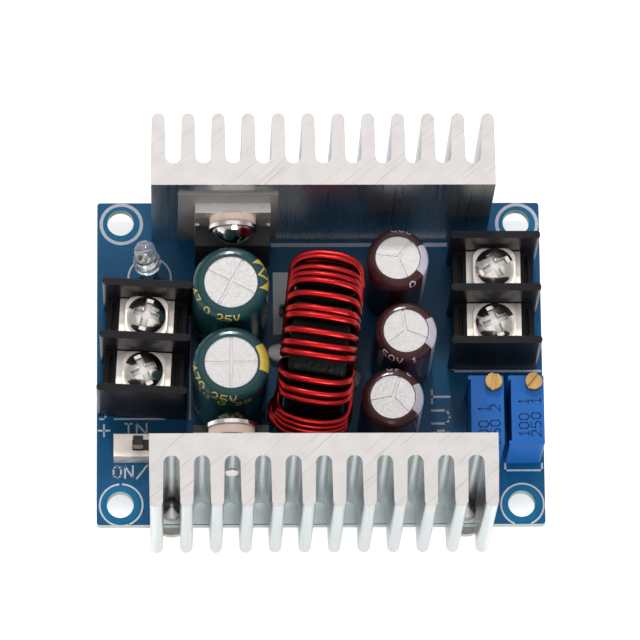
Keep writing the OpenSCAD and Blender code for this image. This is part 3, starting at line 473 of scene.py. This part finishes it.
# %% Extruded and sawn aluminium
def make_extrusion():
    made, tree, shader = new_material("extruded_aluminium", Metallic=1.0)
    facing = add(tree, "SeparateXYZ", {0: add(tree, "NewGeometry").outputs["True Normal"]})
    upright = add(tree, "Math", {0: facing.outputs["Z"]}, operation="ABSOLUTE")
    sawn = add(tree, "Math", {0: upright.outputs[0], 1: 0.8}, operation="GREATER_THAN").outputs[0]
    die = add(tree, "TexNoise", {"Vector": place_in_mm(tree, (3, 3, 0.03)), "Scale": 1.0, "Detail": 5})
    blotch = add(tree, "TexNoise", {"Vector": place_in_mm(tree), "Scale": 0.5, "Detail": 4})
    slanted = place_in_mm(tree, (0.1, 6, 1), (0, 0, radians(-42)))
    tooth = add(tree, "TexNoise", {"Vector": slanted, "Scale": 1.0, "Detail": 3})
    score = remap(tree, tooth.outputs[0], 0.6, 0.72, 0.0, 0.45)
    marks = add(tree, "Mix", {0: sawn, 2: die.outputs[0], 3: tooth.outputs[0]})
    dull = remap(tree, die.outputs[0], 0.3, 0.7, 0.26, 0.32)
    rough = add(tree, "Mix", {0: sawn, 2: dull.outputs[0], 3: 0.6})
    link(tree, rough.outputs[0], shader, "Roughness")
    cut = two_tone(tree, blotch.outputs[0], "#ccc8c6", "#dfdbd9")
    scored = two_tone(tree, score.outputs[0], cut.outputs[0], "#8d8b8a")
    drawn = two_tone(tree, die.outputs[0], "#c9cfd1", "#e2e6e6")
    tone = two_tone(tree, sawn, drawn.outputs[0], scored.outputs[0])
    link(tree, tone.outputs[0], shader, "Base Color")
    bump = add(tree, "Bump", {"Height": marks.outputs[0], "Strength": 0.04, "Distance": 0.02 * MM})
    soft_edges(tree, shader, 0.1, bump)
    return made


dress(make_extrusion(), "rear_heatsink", "front_heatsink")

# %% [markdown]
# ## Plated and turned metal
#
# Screws, clamps, tabs and leads are steel, brass or copper under a thin plate of nickel or tin.
# Plate follows the stamped or turned surface below it, so it shines but never quite like a mirror.
# One function makes them all: a base colour, how rough the plate is, and grain of a size in mm
# that stands for tool marks and handling. On request it paints shade into a screw's recess: the
# colour darkens where the Ambient Occlusion node finds the surface enclosed.

# %% Plated metal
def make_plate(name, dark, light, roughness, grain_mm, edge_mm=0.06, depth_mm=0.006, recess_shade=0.0):
    made, tree, shader = new_material(name, Metallic=1.0)
    grain = add(tree, "TexNoise", {"Vector": place_in_mm(tree), "Scale": 1 / grain_mm, "Detail": 4})
    tone = two_tone(tree, grain.outputs[0], dark, light)
    if recess_shade:
        # Painted shade: the plate's colour darkens where the AO node finds the surface enclosed, as in a
        # screw's recess.
        open_air = add(tree, "AmbientOcclusion", {"Distance": 0.8 * MM}, samples=8)
        recess_darkening = remap(tree, open_air.outputs["AO"], 0.25, 0.9, 1 - recess_shade, 1)
        tone = add(tree, "VectorMath", {0: tone.outputs[0], "Scale": recess_darkening.outputs[0]}, operation="SCALE")
    link(tree, tone.outputs[0], shader, "Base Color")
    dull = remap(tree, grain.outputs[0], 0.3, 0.7, roughness * 0.75, roughness * 1.25)
    link(tree, dull.outputs[0], shader, "Roughness")
    bump = add(tree, "Bump", {"Height": grain.outputs[0], "Strength": 0.5, "Distance": depth_mm * MM})
    soft_edges(tree, shader, edge_mm, bump)
    return made


terminal_screws = [f"{end}_screw_{i}" for end in ("input", "output") for i in (1, 2)]
terminal_clamps = [f"{end}_clamp_{i}" for end in ("input", "output") for i in (1, 2)]
cans = [f"input_capacitor_can_{i}" for i in (1, 2)] + [f"output_capacitor_can_{i}" for i in (1, 2, 3)]
dress(make_plate("dull_nickel_on_steel", "#a5a19c", "#cfcbc6", 0.36, 0.9), "heatsink_screws")
# The bright screws get painted shade in their recesses.
dress(make_plate("bright_nickel_on_steel", "#d8d1ca", "#f6f1ec", 0.12, 0.9, depth_mm=0.05, recess_shade=0.85),
      "device_screws", *terminal_screws)
dress(make_plate("nickel_on_brass", "#dcd2c8", "#f2ebe4", 0.34, 1.2, depth_mm=0.003),
      "input_terminal_contacts", "output_terminal_contacts", *terminal_clamps)
dress(make_plate("tin_on_stamped_copper", "#dad6d0", "#eeebe7", 0.5, 0.5, depth_mm=0.004),
      "transistor_tab", "rectifier_tab")
dress(make_plate("tin_on_copper", "#b9b6b0", "#dedbd6", 0.3, 0.8, depth_mm=0.003), "transistor_leads",
      "rectifier_leads", "capacitor_leads", "trimmer_pins", "indicator_leads", "switch_pins", "chip_leads")
dress(make_plate("turned_brass", "#a57f48", "#c9a56e", 0.3, 1.5, depth_mm=0.002),
      "voltage_trimmer_screw", "current_trimmer_screw")
dress(make_plate("nickel_on_sheet_steel", "#fbeee2", "#fff9f2", 0.55, 1.5, depth_mm=0.002), "switch_shell")
dress(make_plate("drawn_aluminium_can", "#c3c0bf", "#dad7d6", 0.55, 0.25, depth_mm=0.008), *cans)
print("metal on", len(terminal_screws), "terminal screws and", len(cans), "cans, among others")

# %% [markdown]
# ## Moulded plastic, rubber and laminate
#
# The terminal housings, trimmers and chips are moulded. A mould that was spark eroded leaves a
# very fine grain and a soft shine, and handling leaves dust and small scratches that show as pale
# specks on black. Rubber and silicone sheet are duller.

# %% Moulded materials
def make_moulded(name, dark, light, roughness, grain_mm, dust=0.0, edge_mm=0.12, depth_mm=0.01, shine=0.4):
    made, tree, shader = new_material(name, Roughness=roughness, Specular_IOR_Level=shine)
    place = place_in_mm(tree)
    grain = add(tree, "TexNoise", {"Vector": place, "Scale": 1 / grain_mm, "Detail": 4})
    cloud = add(tree, "TexNoise", {"Vector": place, "Scale": 0.35, "Detail": 3})
    tone = two_tone(tree, cloud.outputs[0], dark, light)
    speck = remap(tree, grain.outputs[0], 0.66, 0.74, 0.0, dust)
    dusty = two_tone(tree, speck.outputs[0], tone.outputs[0], "#c9cacc")
    link(tree, dusty.outputs[0], shader, "Base Color")
    bump = add(tree, "Bump", {"Height": grain.outputs[0], "Strength": 0.4, "Distance": depth_mm * MM})
    soft_edges(tree, shader, edge_mm, bump)
    return made


housing_black = make_moulded(
    "black_polyamide", "#0d0c10", "#17161b", 0.32, 0.4, dust=0.06, depth_mm=0.003, shine=0.18)
dress(housing_black, "input_terminal_housing", "output_terminal_housing")
dress(make_moulded("epoxy_moulding_compound", "#151517", "#232326", 0.5, 0.3),
      "transistor_body", "rectifier_body", "controller_chip", "amplifier_chip")
trimmer_blue = make_moulded(
    "blue_glass_filled_polyester", "#0f57a6", "#1c66b4", 0.4, 0.6, depth_mm=0.004, shine=0.25)
dress(trimmer_blue, "voltage_trimmer_body", "current_trimmer_body")
dress(make_moulded("tan_nylon", "#dfc2b3", "#efd8ca", 0.45, 0.6), "insulating_bushings")
dress(make_moulded("grey_silicone_sheet", "#6b696a", "#807c7c", 0.5, 0.6),
      "rear_insulating_pad", "front_insulating_pad")
dress(make_moulded("butyl_rubber", "#1d1d20", "#2a2a2d", 0.6, 0.5), "capacitor_bungs")
dress(make_moulded("paper_phenolic_laminate", "#33231a", "#4a3527", 0.55, 0.3), "switch_base")
dress(make_moulded("black_acetal", "#101012", "#1d1d20", 0.15, 0.6, depth_mm=0.002), "switch_slider")
dress(make_moulded("overglazed_alumina", "#161618", "#242427", 0.28, 0.5),
      "shunt_resistor", "chip_resistors")
dress(make_moulded("barium_titanate_ceramic", "#9a7f58", "#bda17a", 0.4, 0.4), "chip_capacitors")
print("materials so far:", len(bpy.data.materials))

# %% [markdown]
# ## The choke's core
#
# The ring is pressed iron powder under black epoxy, which is thin and slightly orange-peeled. Along
# the rims a patchy grey is painted, partly wear where the wire was pulled over the coat and partly
# a painted highlight on the rounded rim. The bevel node tells where a rim is: there the rounded
# normal differs from the true one.

# %% Coated core
def make_core_coat():
    made, tree, shader = new_material("black_epoxy_on_iron_powder", Roughness=0.3, Specular_IOR_Level=0.06)
    peel = add(tree, "TexNoise", {"Vector": place_in_mm(tree), "Scale": 1.6, "Detail": 3})
    true = add(tree, "NewGeometry").outputs["True Normal"]
    rounded = add(tree, "Bevel", {"Radius": 0.5 * MM}, samples=8)
    same = add(tree, "VectorMath", {0: true, 1: rounded.outputs[0]}, operation="DOT_PRODUCT")
    rim = remap(tree, same.outputs["Value"], 0.99, 0.93, 0.0, 0.8)
    # The grey along the rims is partly wear of the coat and partly a painted highlight on the rounded rim.
    rim_wear_and_highlight = add(tree, "Math", {0: rim.outputs[0], 1: peel.outputs[0]}, operation="MULTIPLY")
    tone = two_tone(tree, rim_wear_and_highlight.outputs[0], "#080808", "#8c8b89")
    link(tree, tone.outputs[0], shader, "Base Color")
    bump = add(tree, "Bump", {"Height": peel.outputs[0], "Strength": 0.6, "Distance": 0.1 * MM})
    soft_edges(tree, shader, 0.3, bump)
    return made


dress(make_core_coat(), "inductor_core")
print("core centre", [round(v / MM, 2) for v in centre("inductor_core")])

# %% [markdown]
# ## The winding
#
# One length of enamelled copper wire goes round the core by hand. In the bore the turns lie side
# by side, and round the rim they spread like the spokes of a wheel. A few turns are slack and
# bulge. The path is worked out turn by turn, and a Bezier curve with automatic handles then bends
# through its points as springy wire does. A round bevel makes the curve a wire.

# %% The wire's path
TURNS = 29
WIRE = 0.92
core_low, core_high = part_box("inductor_core")
RING_CENTRE = centre("inductor_core") / MM
CORE_R = (core_high.z - core_low.z) / 2 / MM
BORE_R = 7.0
HALF_WIDTH = 3.8
YAW = radians(-6.2)
GAP = 0.03
RIM_R = CORE_R + WIRE / 2 + GAP + 0.45
INNER_R = BORE_R - WIRE / 2 - GAP
SIDE = HALF_WIDTH + WIRE / 2 + GAP + 0.3
RIM_BEND, BORE_BEND = 2, 0.5 + WIRE / 2 + GAP
RIM_ARCH, BOW = 0.35, 0.15
STEP = 2 * degrees(asin(1.1 * WIRE / 2 / INNER_R))
SLANT = 0.6
FIRST_SLACK, FIRST_BULGED = 4, TURNS - 8
SLACK = (-0.6, -1.2, -1.6, -0.7, 0.8, 0.3, -0.4, 0, 0.2, -0.7, -0.4, -0.6, -1.2, 0.4, 0.3, -0.4, 1.5, 0.7)
BULGE = (0.2, 0.5, 0.9, 0.4, 0.1, 0.2, 0.1)
LEAD_SPREAD, LEAD_HEIGHTS = 7.6, (-1.5, 2.1, 4.6)


def on_ring(along, r, angle):
    """A point in the ring's own frame: along and off its axis, at an angle from the top to the front."""
    t = radians(angle)
    return Vector((along, -r * sin(t), r * cos(t)))


def of_turn(values, first, k):
    """The value of turn k in a list that begins with an earlier turn, or nothing."""
    return values[k - first] if 0 <= k - first < len(values) else 0


def bore_angle(k):
    return 9 + (k - (TURNS - 1) / 2) * STEP


def one_turn(k):
    """Up the input side's face, over the rim, down the other face and back through the bore."""
    bore = bore_angle(k)
    rim = bore + degrees(of_turn(SLACK, FIRST_SLACK, k) * WIRE / RIM_R)
    out = of_turn(BULGE, FIRST_BULGED, k)
    arch = RIM_ARCH * abs(sin(radians(rim)))
    side, over, reach = SIDE - RIM_BEND, RIM_R - RIM_BEND, RIM_BEND * cos(radians(45))
    bore_side, under, tuck = SIDE - BORE_BEND, INNER_R + BORE_BEND, BORE_BEND * cos(radians(45))
    return [
        on_ring(-SIDE - out * 0.2, under, bore),
        on_ring(-SIDE - out, (over + under) / 2, (bore + rim - SLANT) / 2),
        on_ring(-SIDE - out * 0.8, over, rim - SLANT),
        on_ring(-side - reach - out * 0.4, over + reach + out * 0.2, rim - SLANT),
        on_ring(-side, RIM_R + arch / 2 + out * 0.2, rim - SLANT),
        on_ring(0, RIM_R + arch + out * 0.1 + BOW, rim),
        on_ring(side, RIM_R + arch / 2, rim + SLANT),
        on_ring(side + reach, over + reach, rim + SLANT),
        on_ring(SIDE, over, rim + SLANT),
        on_ring(SIDE, under, bore),
        on_ring(bore_side + tuck, under - tuck, bore + STEP * 0.02),
        on_ring(bore_side, INNER_R, bore + STEP * 0.08),
        on_ring(0, INNER_R - GAP, bore + STEP * 0.5),
        on_ring(-bore_side, INNER_R, bore + STEP * 0.92),
        on_ring(-bore_side - tuck, under - tuck, bore + STEP * 0.98),
    ]


def lead(spread, heights):
    """One end of the wire, straight down through the board."""
    return [Vector((-SIDE - 0.9, -spread, z - RING_CENTRE.z)) for z in heights]


last = bore_angle(TURNS)
path = lead(-LEAD_SPREAD, LEAD_HEIGHTS)
for k in range(TURNS):
    path += one_turn(k)
path.append(on_ring(-SIDE - GAP, INNER_R + BORE_BEND, last))
path.append(on_ring(-SIDE - 0.45, (INNER_R + RIM_R) / 2, last - 2))
path += lead(LEAD_SPREAD, LEAD_HEIGHTS[::-1])
to_board = Matrix.Translation(RING_CENTRE) @ Matrix.Rotation(YAW, 4, "Z")
path = [to_board @ point for point in path]
print("wire points", len(path), "length", round(sum((b - a).length for a, b in zip(path, path[1:]))), "mm")

# %% Enamel and the wire itself
def make_enamel():
    made, tree, shader = new_material(
        "red_enamelled_copper", Metallic=1.0, Roughness=0.28, Coat_Weight=0.45, Coat_Roughness=0.2)
    place = place_in_mm(tree)
    wave = add(tree, "TexNoise", {"Vector": place, "Scale": 0.5, "Detail": 2})
    fine = add(tree, "TexNoise", {"Vector": place, "Scale": 3.0, "Detail": 3})
    tone = two_tone(tree, wave.outputs[0], "#a6040a", "#c0070f")
    link(tree, tone.outputs[0], shader, "Base Color")
    bump = add(tree, "Bump", {"Height": fine.outputs[0], "Strength": 0.15, "Distance": 0.01 * MM})
    link(tree, bump.outputs[0], shader, "Normal")
    return made


wire = bpy.data.curves.new("choke_winding", "CURVE")
wire.dimensions = "3D"
wire.resolution_u = 3
wire.bevel_depth = WIRE / 2 * MM
wire.bevel_resolution = 4
wire.use_fill_caps = True
spline = wire.splines.new("BEZIER")
spline.bezier_points.add(len(path) - 1)
for knot, point in zip(spline.bezier_points, path):
    knot.co = point * MM
    knot.handle_left_type = knot.handle_right_type = "AUTO"
new_piece("choke_winding", wire, make_enamel(), "module", "enamelled_copper", "inductor_winding")
print("winding made of", len(spline.bezier_points), "knots")

# %% [markdown]
# ## Figures on the trimmers
#
# A trimmer's value is stamped on its top in dark ink, across the short way. Plain figures do.

# %% Dark figures
STAMPS = (("100 1", 21.95, -14.1), ("250 2", 23.5, -14.1), ("100 1", 27.3, -13.1), ("250 1", 28.9, -13.1))
MATT = {"Roughness": 0.6, "Specular_IOR_Level": 0.2}
stamp_ink = mottled("dark_stamping_ink", "#14305c", "#1c4a86", 4.0, 2, **MATT)
stamp = bmesh.new()
stamp_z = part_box("voltage_trimmer_body")[1].z / MM + 0.015
for text, x, y in STAMPS:
    for shape in writing(text, x, y, 1.25, 0.17, 90):
        stamp.faces.new([stamp.verts.new(Vector((x, y, stamp_z)) * MM) for x, y in shape])
stamp_mesh = bpy.data.meshes.new("trimmer_figures")
stamp.to_mesh(stamp_mesh)
new_piece("trimmer_figures", stamp_mesh, stamp_ink, "module", "trimmer_blue")
print("stamped figures", len(stamp_mesh.polygons), "strokes")

# %% [markdown]
# ## Shrink sleeves and their print
#
# Each capacitor wears a sleeve of PVC tube that was shrunk on with heat, so it is glossy and drawn
# in over the can's shoulder. The print on it is a thin coat of ink. It is modelled as a mesh that
# is cut flat, in millimetres round the can and up it, then wrapped just outside the sleeve. The
# stripe marks the negative lead, with a bar in it like a minus sign.

# %% Sleeves
def make_sleeve(name, dark, light):
    made, tree, shader = new_material(name, Roughness=0.16, Specular_IOR_Level=0.3)
    place = place_in_mm(tree)
    cloud = add(tree, "TexNoise", {"Vector": place, "Scale": 0.3, "Detail": 2})
    ripple = add(tree, "TexNoise", {"Vector": place_in_mm(tree, (1, 1, 0.25)), "Scale": 0.9, "Detail": 1})
    tone = two_tone(tree, cloud.outputs[0], dark, light)
    link(tree, tone.outputs[0], shader, "Base Color")
    bump = add(tree, "Bump", {"Height": ripple.outputs[0], "Strength": 0.3, "Distance": 0.08 * MM})
    link(tree, bump.outputs[0], shader, "Normal")
    return made


input_sleeves = ["input_capacitor_sleeve_1", "input_capacitor_sleeve_2"]
output_sleeves = ["output_capacitor_sleeve_1", "output_capacitor_sleeve_2", "output_capacitor_sleeve_3"]
dress(make_sleeve("green_pvc_sleeve", "#143638", "#1f484b"), *input_sleeves)
dress(make_sleeve("brown_pvc_sleeve", "#33181b", "#4a2728"), *output_sleeves)

PRINTED = {"Roughness": 0.32, "Coat_Weight": 0.3, "Coat_Roughness": 0.1}
gold_ink = mottled("gold_sleeve_ink", "#b09632", "#cfb654", 1.8, 3, **PRINTED)
pale_ink = mottled("lavender_sleeve_ink", "#a59fae", "#c3bfca", 1.8, 3, **PRINTED)
print("sleeve inks ready")

# %% Wrap flat shapes round a sleeve
SHOULDER, INK_THICK = 1.15, 0.015


def wrap(name, sleeve, shapes, made, slot):
    """Flat polygons, in mm round from +X and mm up from the sleeve's foot, bent round it.
    What lies above its straight wall goes over the shoulder and in along the top. Before that they
    are cut every 4 degrees round and, near the top, every 0.2 mm up, so that they bend smoothly."""
    box_low, box_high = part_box(sleeve)
    middle = (box_low + box_high) / 2 / MM
    radius = (box_high.x - box_low.x) / 2 / MM
    foot, top = box_low.z / MM, (box_high.z - box_low.z) / MM
    flat = bmesh.new()
    for shape in shapes:
        flat.faces.new([flat.verts.new((x, y, 0)) for x, y in shape])
    cuts = [(Vector((1, 0, 0)), radius * radians(4 * i)) for i in range(-45, 46)]
    cuts += [(Vector((0, 1, 0)), 0.2 * i) for i in range(60, 111)]
    for across, offset in cuts:
        geometry = flat.verts[:] + flat.edges[:] + flat.faces[:]
        bmesh.ops.bisect_plane(flat, geom=geometry, plane_co=across * offset, plane_no=across)
    arc = SHOULDER * pi / 2
    for vertex in flat.verts:
        turn, up = vertex.co.x / radius, vertex.co.y
        over = up - (top - SHOULDER)
        if over <= 0:
            r, z = radius, up
        elif over <= arc:
            r = radius - SHOULDER + SHOULDER * cos(over / SHOULDER)
            z = top - SHOULDER + SHOULDER * sin(over / SHOULDER)
        else:
            r, z = radius - SHOULDER - (over - arc), top
        r, z = r + INK_THICK * (over <= arc), z + INK_THICK * (over > 0)
        vertex.co = Vector((middle.x + r * cos(turn), middle.y + r * sin(turn), foot + z)) * MM
    mesh = bpy.data.meshes.new(name)
    flat.to_mesh(mesh)
    mesh.shade_smooth()
    return new_piece(name, mesh, made, "module", slot)


IN_TOP = (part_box(input_sleeves[0])[1].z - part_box(input_sleeves[0])[0].z) / MM
OUT_TOP = (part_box(output_sleeves[0])[1].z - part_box(output_sleeves[0])[0].z) / MM
print("sleeves are", round(IN_TOP, 2), "and", round(OUT_TOP, 2), "mm high")
for i, sleeve in enumerate(output_sleeves, 1):
    stripe = [rectangle(-2.45, y0, 2.1, y1) for y0, y1 in ((0.6, 6.2), (6.9, 11.2), (11.9, 16.6))]
    for x0, x1 in ((-2.45, -0.55), (0.35, 2.1)):
        stripe += [rectangle(x0, y, x1, y + 0.7) for y in (6.2, 11.2)]
    wrap(f"output_stripe_{i}", sleeve, stripe, pale_ink, "sleeve_brown")
left, right, foot, top = -1.1, 3.7, IN_TOP - 2.6, IN_TOP + 0.75
middle, waist = (left + right) / 2, (foot + top) / 2
low, reach = IN_TOP - SHOULDER, 1.9
diamond = [(left + 1.5, waist + 0.5), (middle, low), (right - 1.5, waist + 0.5), (middle, top)]
wrap("input_mark_1", input_sleeves[0], [
    [(left, foot), (left + reach, foot), (left + reach, low), (left, top)],
    [(right - reach, foot), (right, foot), (right, top), (right - reach, low)],
    *stroke_shapes(0.25, diamond + diamond[:1])], gold_ink, "sleeve_green")
wrap("input_mark_2", input_sleeves[1], [rectangle(-1.35, foot, 2.9, top)], gold_ink, "sleeve_green")


def figures(name, sleeve, text, start, tall, foot, made, slot):
    """Figures round a sleeve, their first one at an angle from +X, their foot so high on the can."""
    radius = (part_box(sleeve)[1].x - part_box(sleeve)[0].x) / 2 / MM
    wrap(name, sleeve, writing(text, radius * radians(start), foot, tall, 0.17), made, slot)


figures("input_figures_1", input_sleeves[0], "47 0 25V", -172, 1.2, IN_TOP - 1.35, gold_ink, "sleeve_green")
figures("input_figures_2", input_sleeves[1], "470 25V", -178, 1.35, IN_TOP - 1.5, gold_ink, "sleeve_green")
figures("input_code_2", input_sleeves[1], "10 0 25", -150, 1.35, IN_TOP - 3.4, gold_ink, "sleeve_green")
figures("output_figures_1", output_sleeves[0], "220", 62, 1.1, OUT_TOP - 1.2, pale_ink, "sleeve_brown")
figures("output_sign_1", output_sleeves[0], "0", -66, 1.2, OUT_TOP - 1.4, pale_ink, "sleeve_brown")
figures("output_figures_2", output_sleeves[1], "50V 1", -140, 1.2, OUT_TOP - 1.5, pale_ink, "sleeve_brown")
figures("output_figures_3", output_sleeves[2], "2 40", 50, 1.1, OUT_TOP - 1.2, pale_ink, "sleeve_brown")
print("stripes:", len(output_sleeves))

# %% [markdown]
# ## The indicator lamp
#
# A clear lamp is one casting of epoxy round two stamped leads. One lead widens into a cup that
# holds the chip, the other into a post. Both show through the lens, so they are made as well: a
# clear lens with nothing in it looks empty. The lens is a lathed profile with many sides, since
# flats on clear resin show at once.

# %% Lathe helper, lens and what it holds
def lathe(profile, sides=48):
    """A mesh turned about Z from radius and height pairs in mm, with round shading."""
    turned = bmesh.new()
    rings = []
    for r, z in profile:
        angles = [tau * i / sides for i in range(sides if r > 0 else 1)]
        rings.append([turned.verts.new(Vector((r * cos(a), r * sin(a), z)) * MM) for a in angles])
    for lower, upper in zip(rings, rings[1:]):
        for i in range(sides):
            j = (i + 1) % sides
            corners = [row[k % len(row)] for row, k in ((lower, i), (lower, j), (upper, j), (upper, i))]
            turned.faces.new(list(dict.fromkeys(corners)))
    bmesh.ops.recalc_face_normals(turned, faces=turned.faces)
    mesh = bpy.data.meshes.new("turned")
    turned.to_mesh(mesh)
    turned.free()
    mesh.shade_smooth()
    mesh.set_sharp_from_angle(angle=radians(40))
    return mesh


lamp_foot = Vector((-22.9, 11.9, 2.0)) * MM
lean = Matrix.Translation(lamp_foot) @ Euler((radians(-8), radians(-4), 0)).to_matrix().to_4x4()
lean = lean @ Matrix.Translation((0, 0, 4.4 * MM))
dome = [(1.5 * cos(radians(a)), 3.8 + 1.5 * sin(radians(a))) for a in range(0, 86, 6)]
flange = [(0, 0), (1.75, 0), (1.85, 0.1), (1.85, 0.9), (1.75, 1.0), (1.5, 1.05)]
lens_mesh = lathe([*flange, *dome, (0, 5.3)], 64)
lens_mesh.transform(lean)
CLEAR = {"Roughness": 0.02, "IOR": 1.5, "Transmission_Weight": 0.86}
clear_epoxy = mottled("clear_cast_epoxy", "#f4f6f7", "#ffffff", 0.6, 2, **CLEAR)
new_piece("lamp_lens", lens_mesh, clear_epoxy, "module", "clear_epoxy", "indicator_lens")
cup = lathe([(0, 1.4), (0.35, 1.4), (0.35, 1.9), (0.62, 2.5), (0.5, 2.5), (0.28, 2.15), (0, 2.15)], 32)
cup.transform(lean @ Matrix.Translation((-0.45 * MM, 0, 0)))
post = lathe([(0, 1.4), (0.3, 1.4), (0.3, 2.45), (0.2, 2.6), (0, 2.6)], 16)
post.transform(lean @ Matrix.Translation((0.75 * MM, 0, 0)) @ Matrix.Diagonal((0.8, 1.6, 1, 1)))
frame_metal = make_plate("silver_on_steel", "#c9c7c2", "#efeeea", 0.2, 0.4)
new_piece("lamp_cup", cup, frame_metal, "module", "tinned_copper")
new_piece("lamp_post", post, frame_metal, "module", "tinned_copper")
print("lamp leans from", [round(v / MM, 1) for v in lamp_foot])

# %% [markdown]
# ## Solder and glue
#
# Molten solder wets the pad and climbs the lead, so it freezes as a hollow cone with a smooth
# foot. Each joint is turned from that curve, at the place and size of the plain cone that it
# stands for. The silicone under the choke was squeezed out by hand, so it is three lumpy domes.

# %% Solder joints
def islands(name):
    """Lowest and highest corner of every separate piece of a CAD node's mesh, in mm."""
    loose = bmesh.new()
    loose.from_mesh(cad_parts[name].data)
    bmesh.ops.remove_doubles(loose, verts=loose.verts, dist=1e-6)
    boxes, left = [], set(loose.verts)
    while left:
        group, edge = set(), {next(iter(left))}
        while edge:
            group |= edge
            edge = {e.other_vert(v) for v in edge for e in v.link_edges} - group
        left -= group
        spans = [(min(v.co[i] for v in group) / MM, max(v.co[i] for v in group) / MM) for i in range(3)]
        boxes.append((Vector(s[0] for s in spans), Vector(s[1] for s in spans)))
    loose.free()
    return sorted(boxes, key=lambda b: tuple(b[0]))


def join(meshes, name):
    """Several meshes as one."""
    whole = bmesh.new()
    for mesh in meshes:
        whole.from_mesh(mesh)
        bpy.data.meshes.remove(mesh)
    joined = bpy.data.meshes.new(name)
    whole.to_mesh(joined)
    whole.free()
    return joined


def make_solder():
    made, tree, shader = new_material("frozen_tin_solder", Metallic=1.0)
    place = place_in_mm(tree)
    frost = add(tree, "TexNoise", {"Vector": place, "Scale": 3.0, "Detail": 4})
    tone = two_tone(tree, frost.outputs[0], "#a9acb0", "#dcdedf")
    link(tree, tone.outputs[0], shader, "Base Color")
    dull = remap(tree, frost.outputs[0], 0.3, 0.7, 0.16, 0.4)
    link(tree, dull.outputs[0], shader, "Roughness")
    bump = add(tree, "Bump", {"Height": frost.outputs[0], "Strength": 0.4, "Distance": 0.03 * MM})
    link(tree, bump.outputs[0], shader, "Normal")
    return made


fillets = []
for box_low, box_high in islands("solder_joints"):
    foot_r = (box_high.x - box_low.x) / 2
    tall = box_high.z - box_low.z
    lead_r = foot_r - 0.65
    rise = [(lead_r + 0.1 + 0.55 * (1 - i / 8) ** 2.6, -tall * (i / 8)) for i in range(9)]
    cone = lathe([(lead_r + 0.02, 0), *rise, (lead_r + 0.02, -tall)], 28)
    middle = (box_low + box_high) / 2
    cone.transform(Matrix.Translation(Vector((middle.x, middle.y, 0)) * MM))
    fillets.append(cone)
print("solder joints", len(fillets))
all_fillets = join(fillets, "solder_fillets")
new_piece("solder_fillets", all_fillets, make_solder(), "module", "solder", "solder_joints")

# %% Silicone
def make_silicone():
    made, tree, shader = new_material(
        "white_silicone", Roughness=0.42, IOR=1.41, Subsurface_Weight=0.15, Subsurface_Scale=1 * MM)
    cloud = add(tree, "TexNoise", {"Vector": place_in_mm(tree), "Scale": 0.8, "Detail": 3})
    tone = two_tone(tree, cloud.outputs[0], "#dedbd8", "#f4f1ee")
    link(tree, tone.outputs[0], shader, "Base Color")
    bump = add(tree, "Bump", {"Height": cloud.outputs[0], "Strength": 0.5, "Distance": 0.15 * MM})
    link(tree, bump.outputs[0], shader, "Normal")
    return made


def dab(x, y, half_x, half_y, tall, seed):
    """A lumpy dome of silicone on the board."""
    rise = [(cos(radians(a)), sin(radians(a)) ** 0.8) for a in range(0, 90, 9)]
    dome = lathe([(0, 0), (0.96, 0), *rise, (0, 1)], 40)
    for vertex in dome.vertices:
        spot = vertex.co / MM
        lump = 1 + 0.16 * noise.noise(spot * 1.7 + Vector((seed, 0, 0)))
        swell = Vector((spot.x * half_x, spot.y * half_y, spot.z * tall)) * lump
        vertex.co = (Vector((x, y, BOARD_TOP)) + swell) * MM
    return dome


dabs = [dab(-5.2, 1.0, 2.0, 1.5, 1.5, 1), dab(3.2, -2.4, 2.3, 1.7, 1.5, 5)]
dabs.append(dab(-0.8, -0.9, 3.6, 2.0, 1.2, 9))
silicone = join(dabs, "silicone_dabs")
new_piece("silicone_dabs", silicone, make_silicone(), "module", "silicone", "inductor_adhesive")
print("silicone dabs have", len(silicone.vertices), "corners")

# %% [markdown]
# ## The end
#
# The dressed module must stay the size of the solids. At the end the view layer is brought up to
# date.

# %% Finish
bpy.context.view_layer.update()
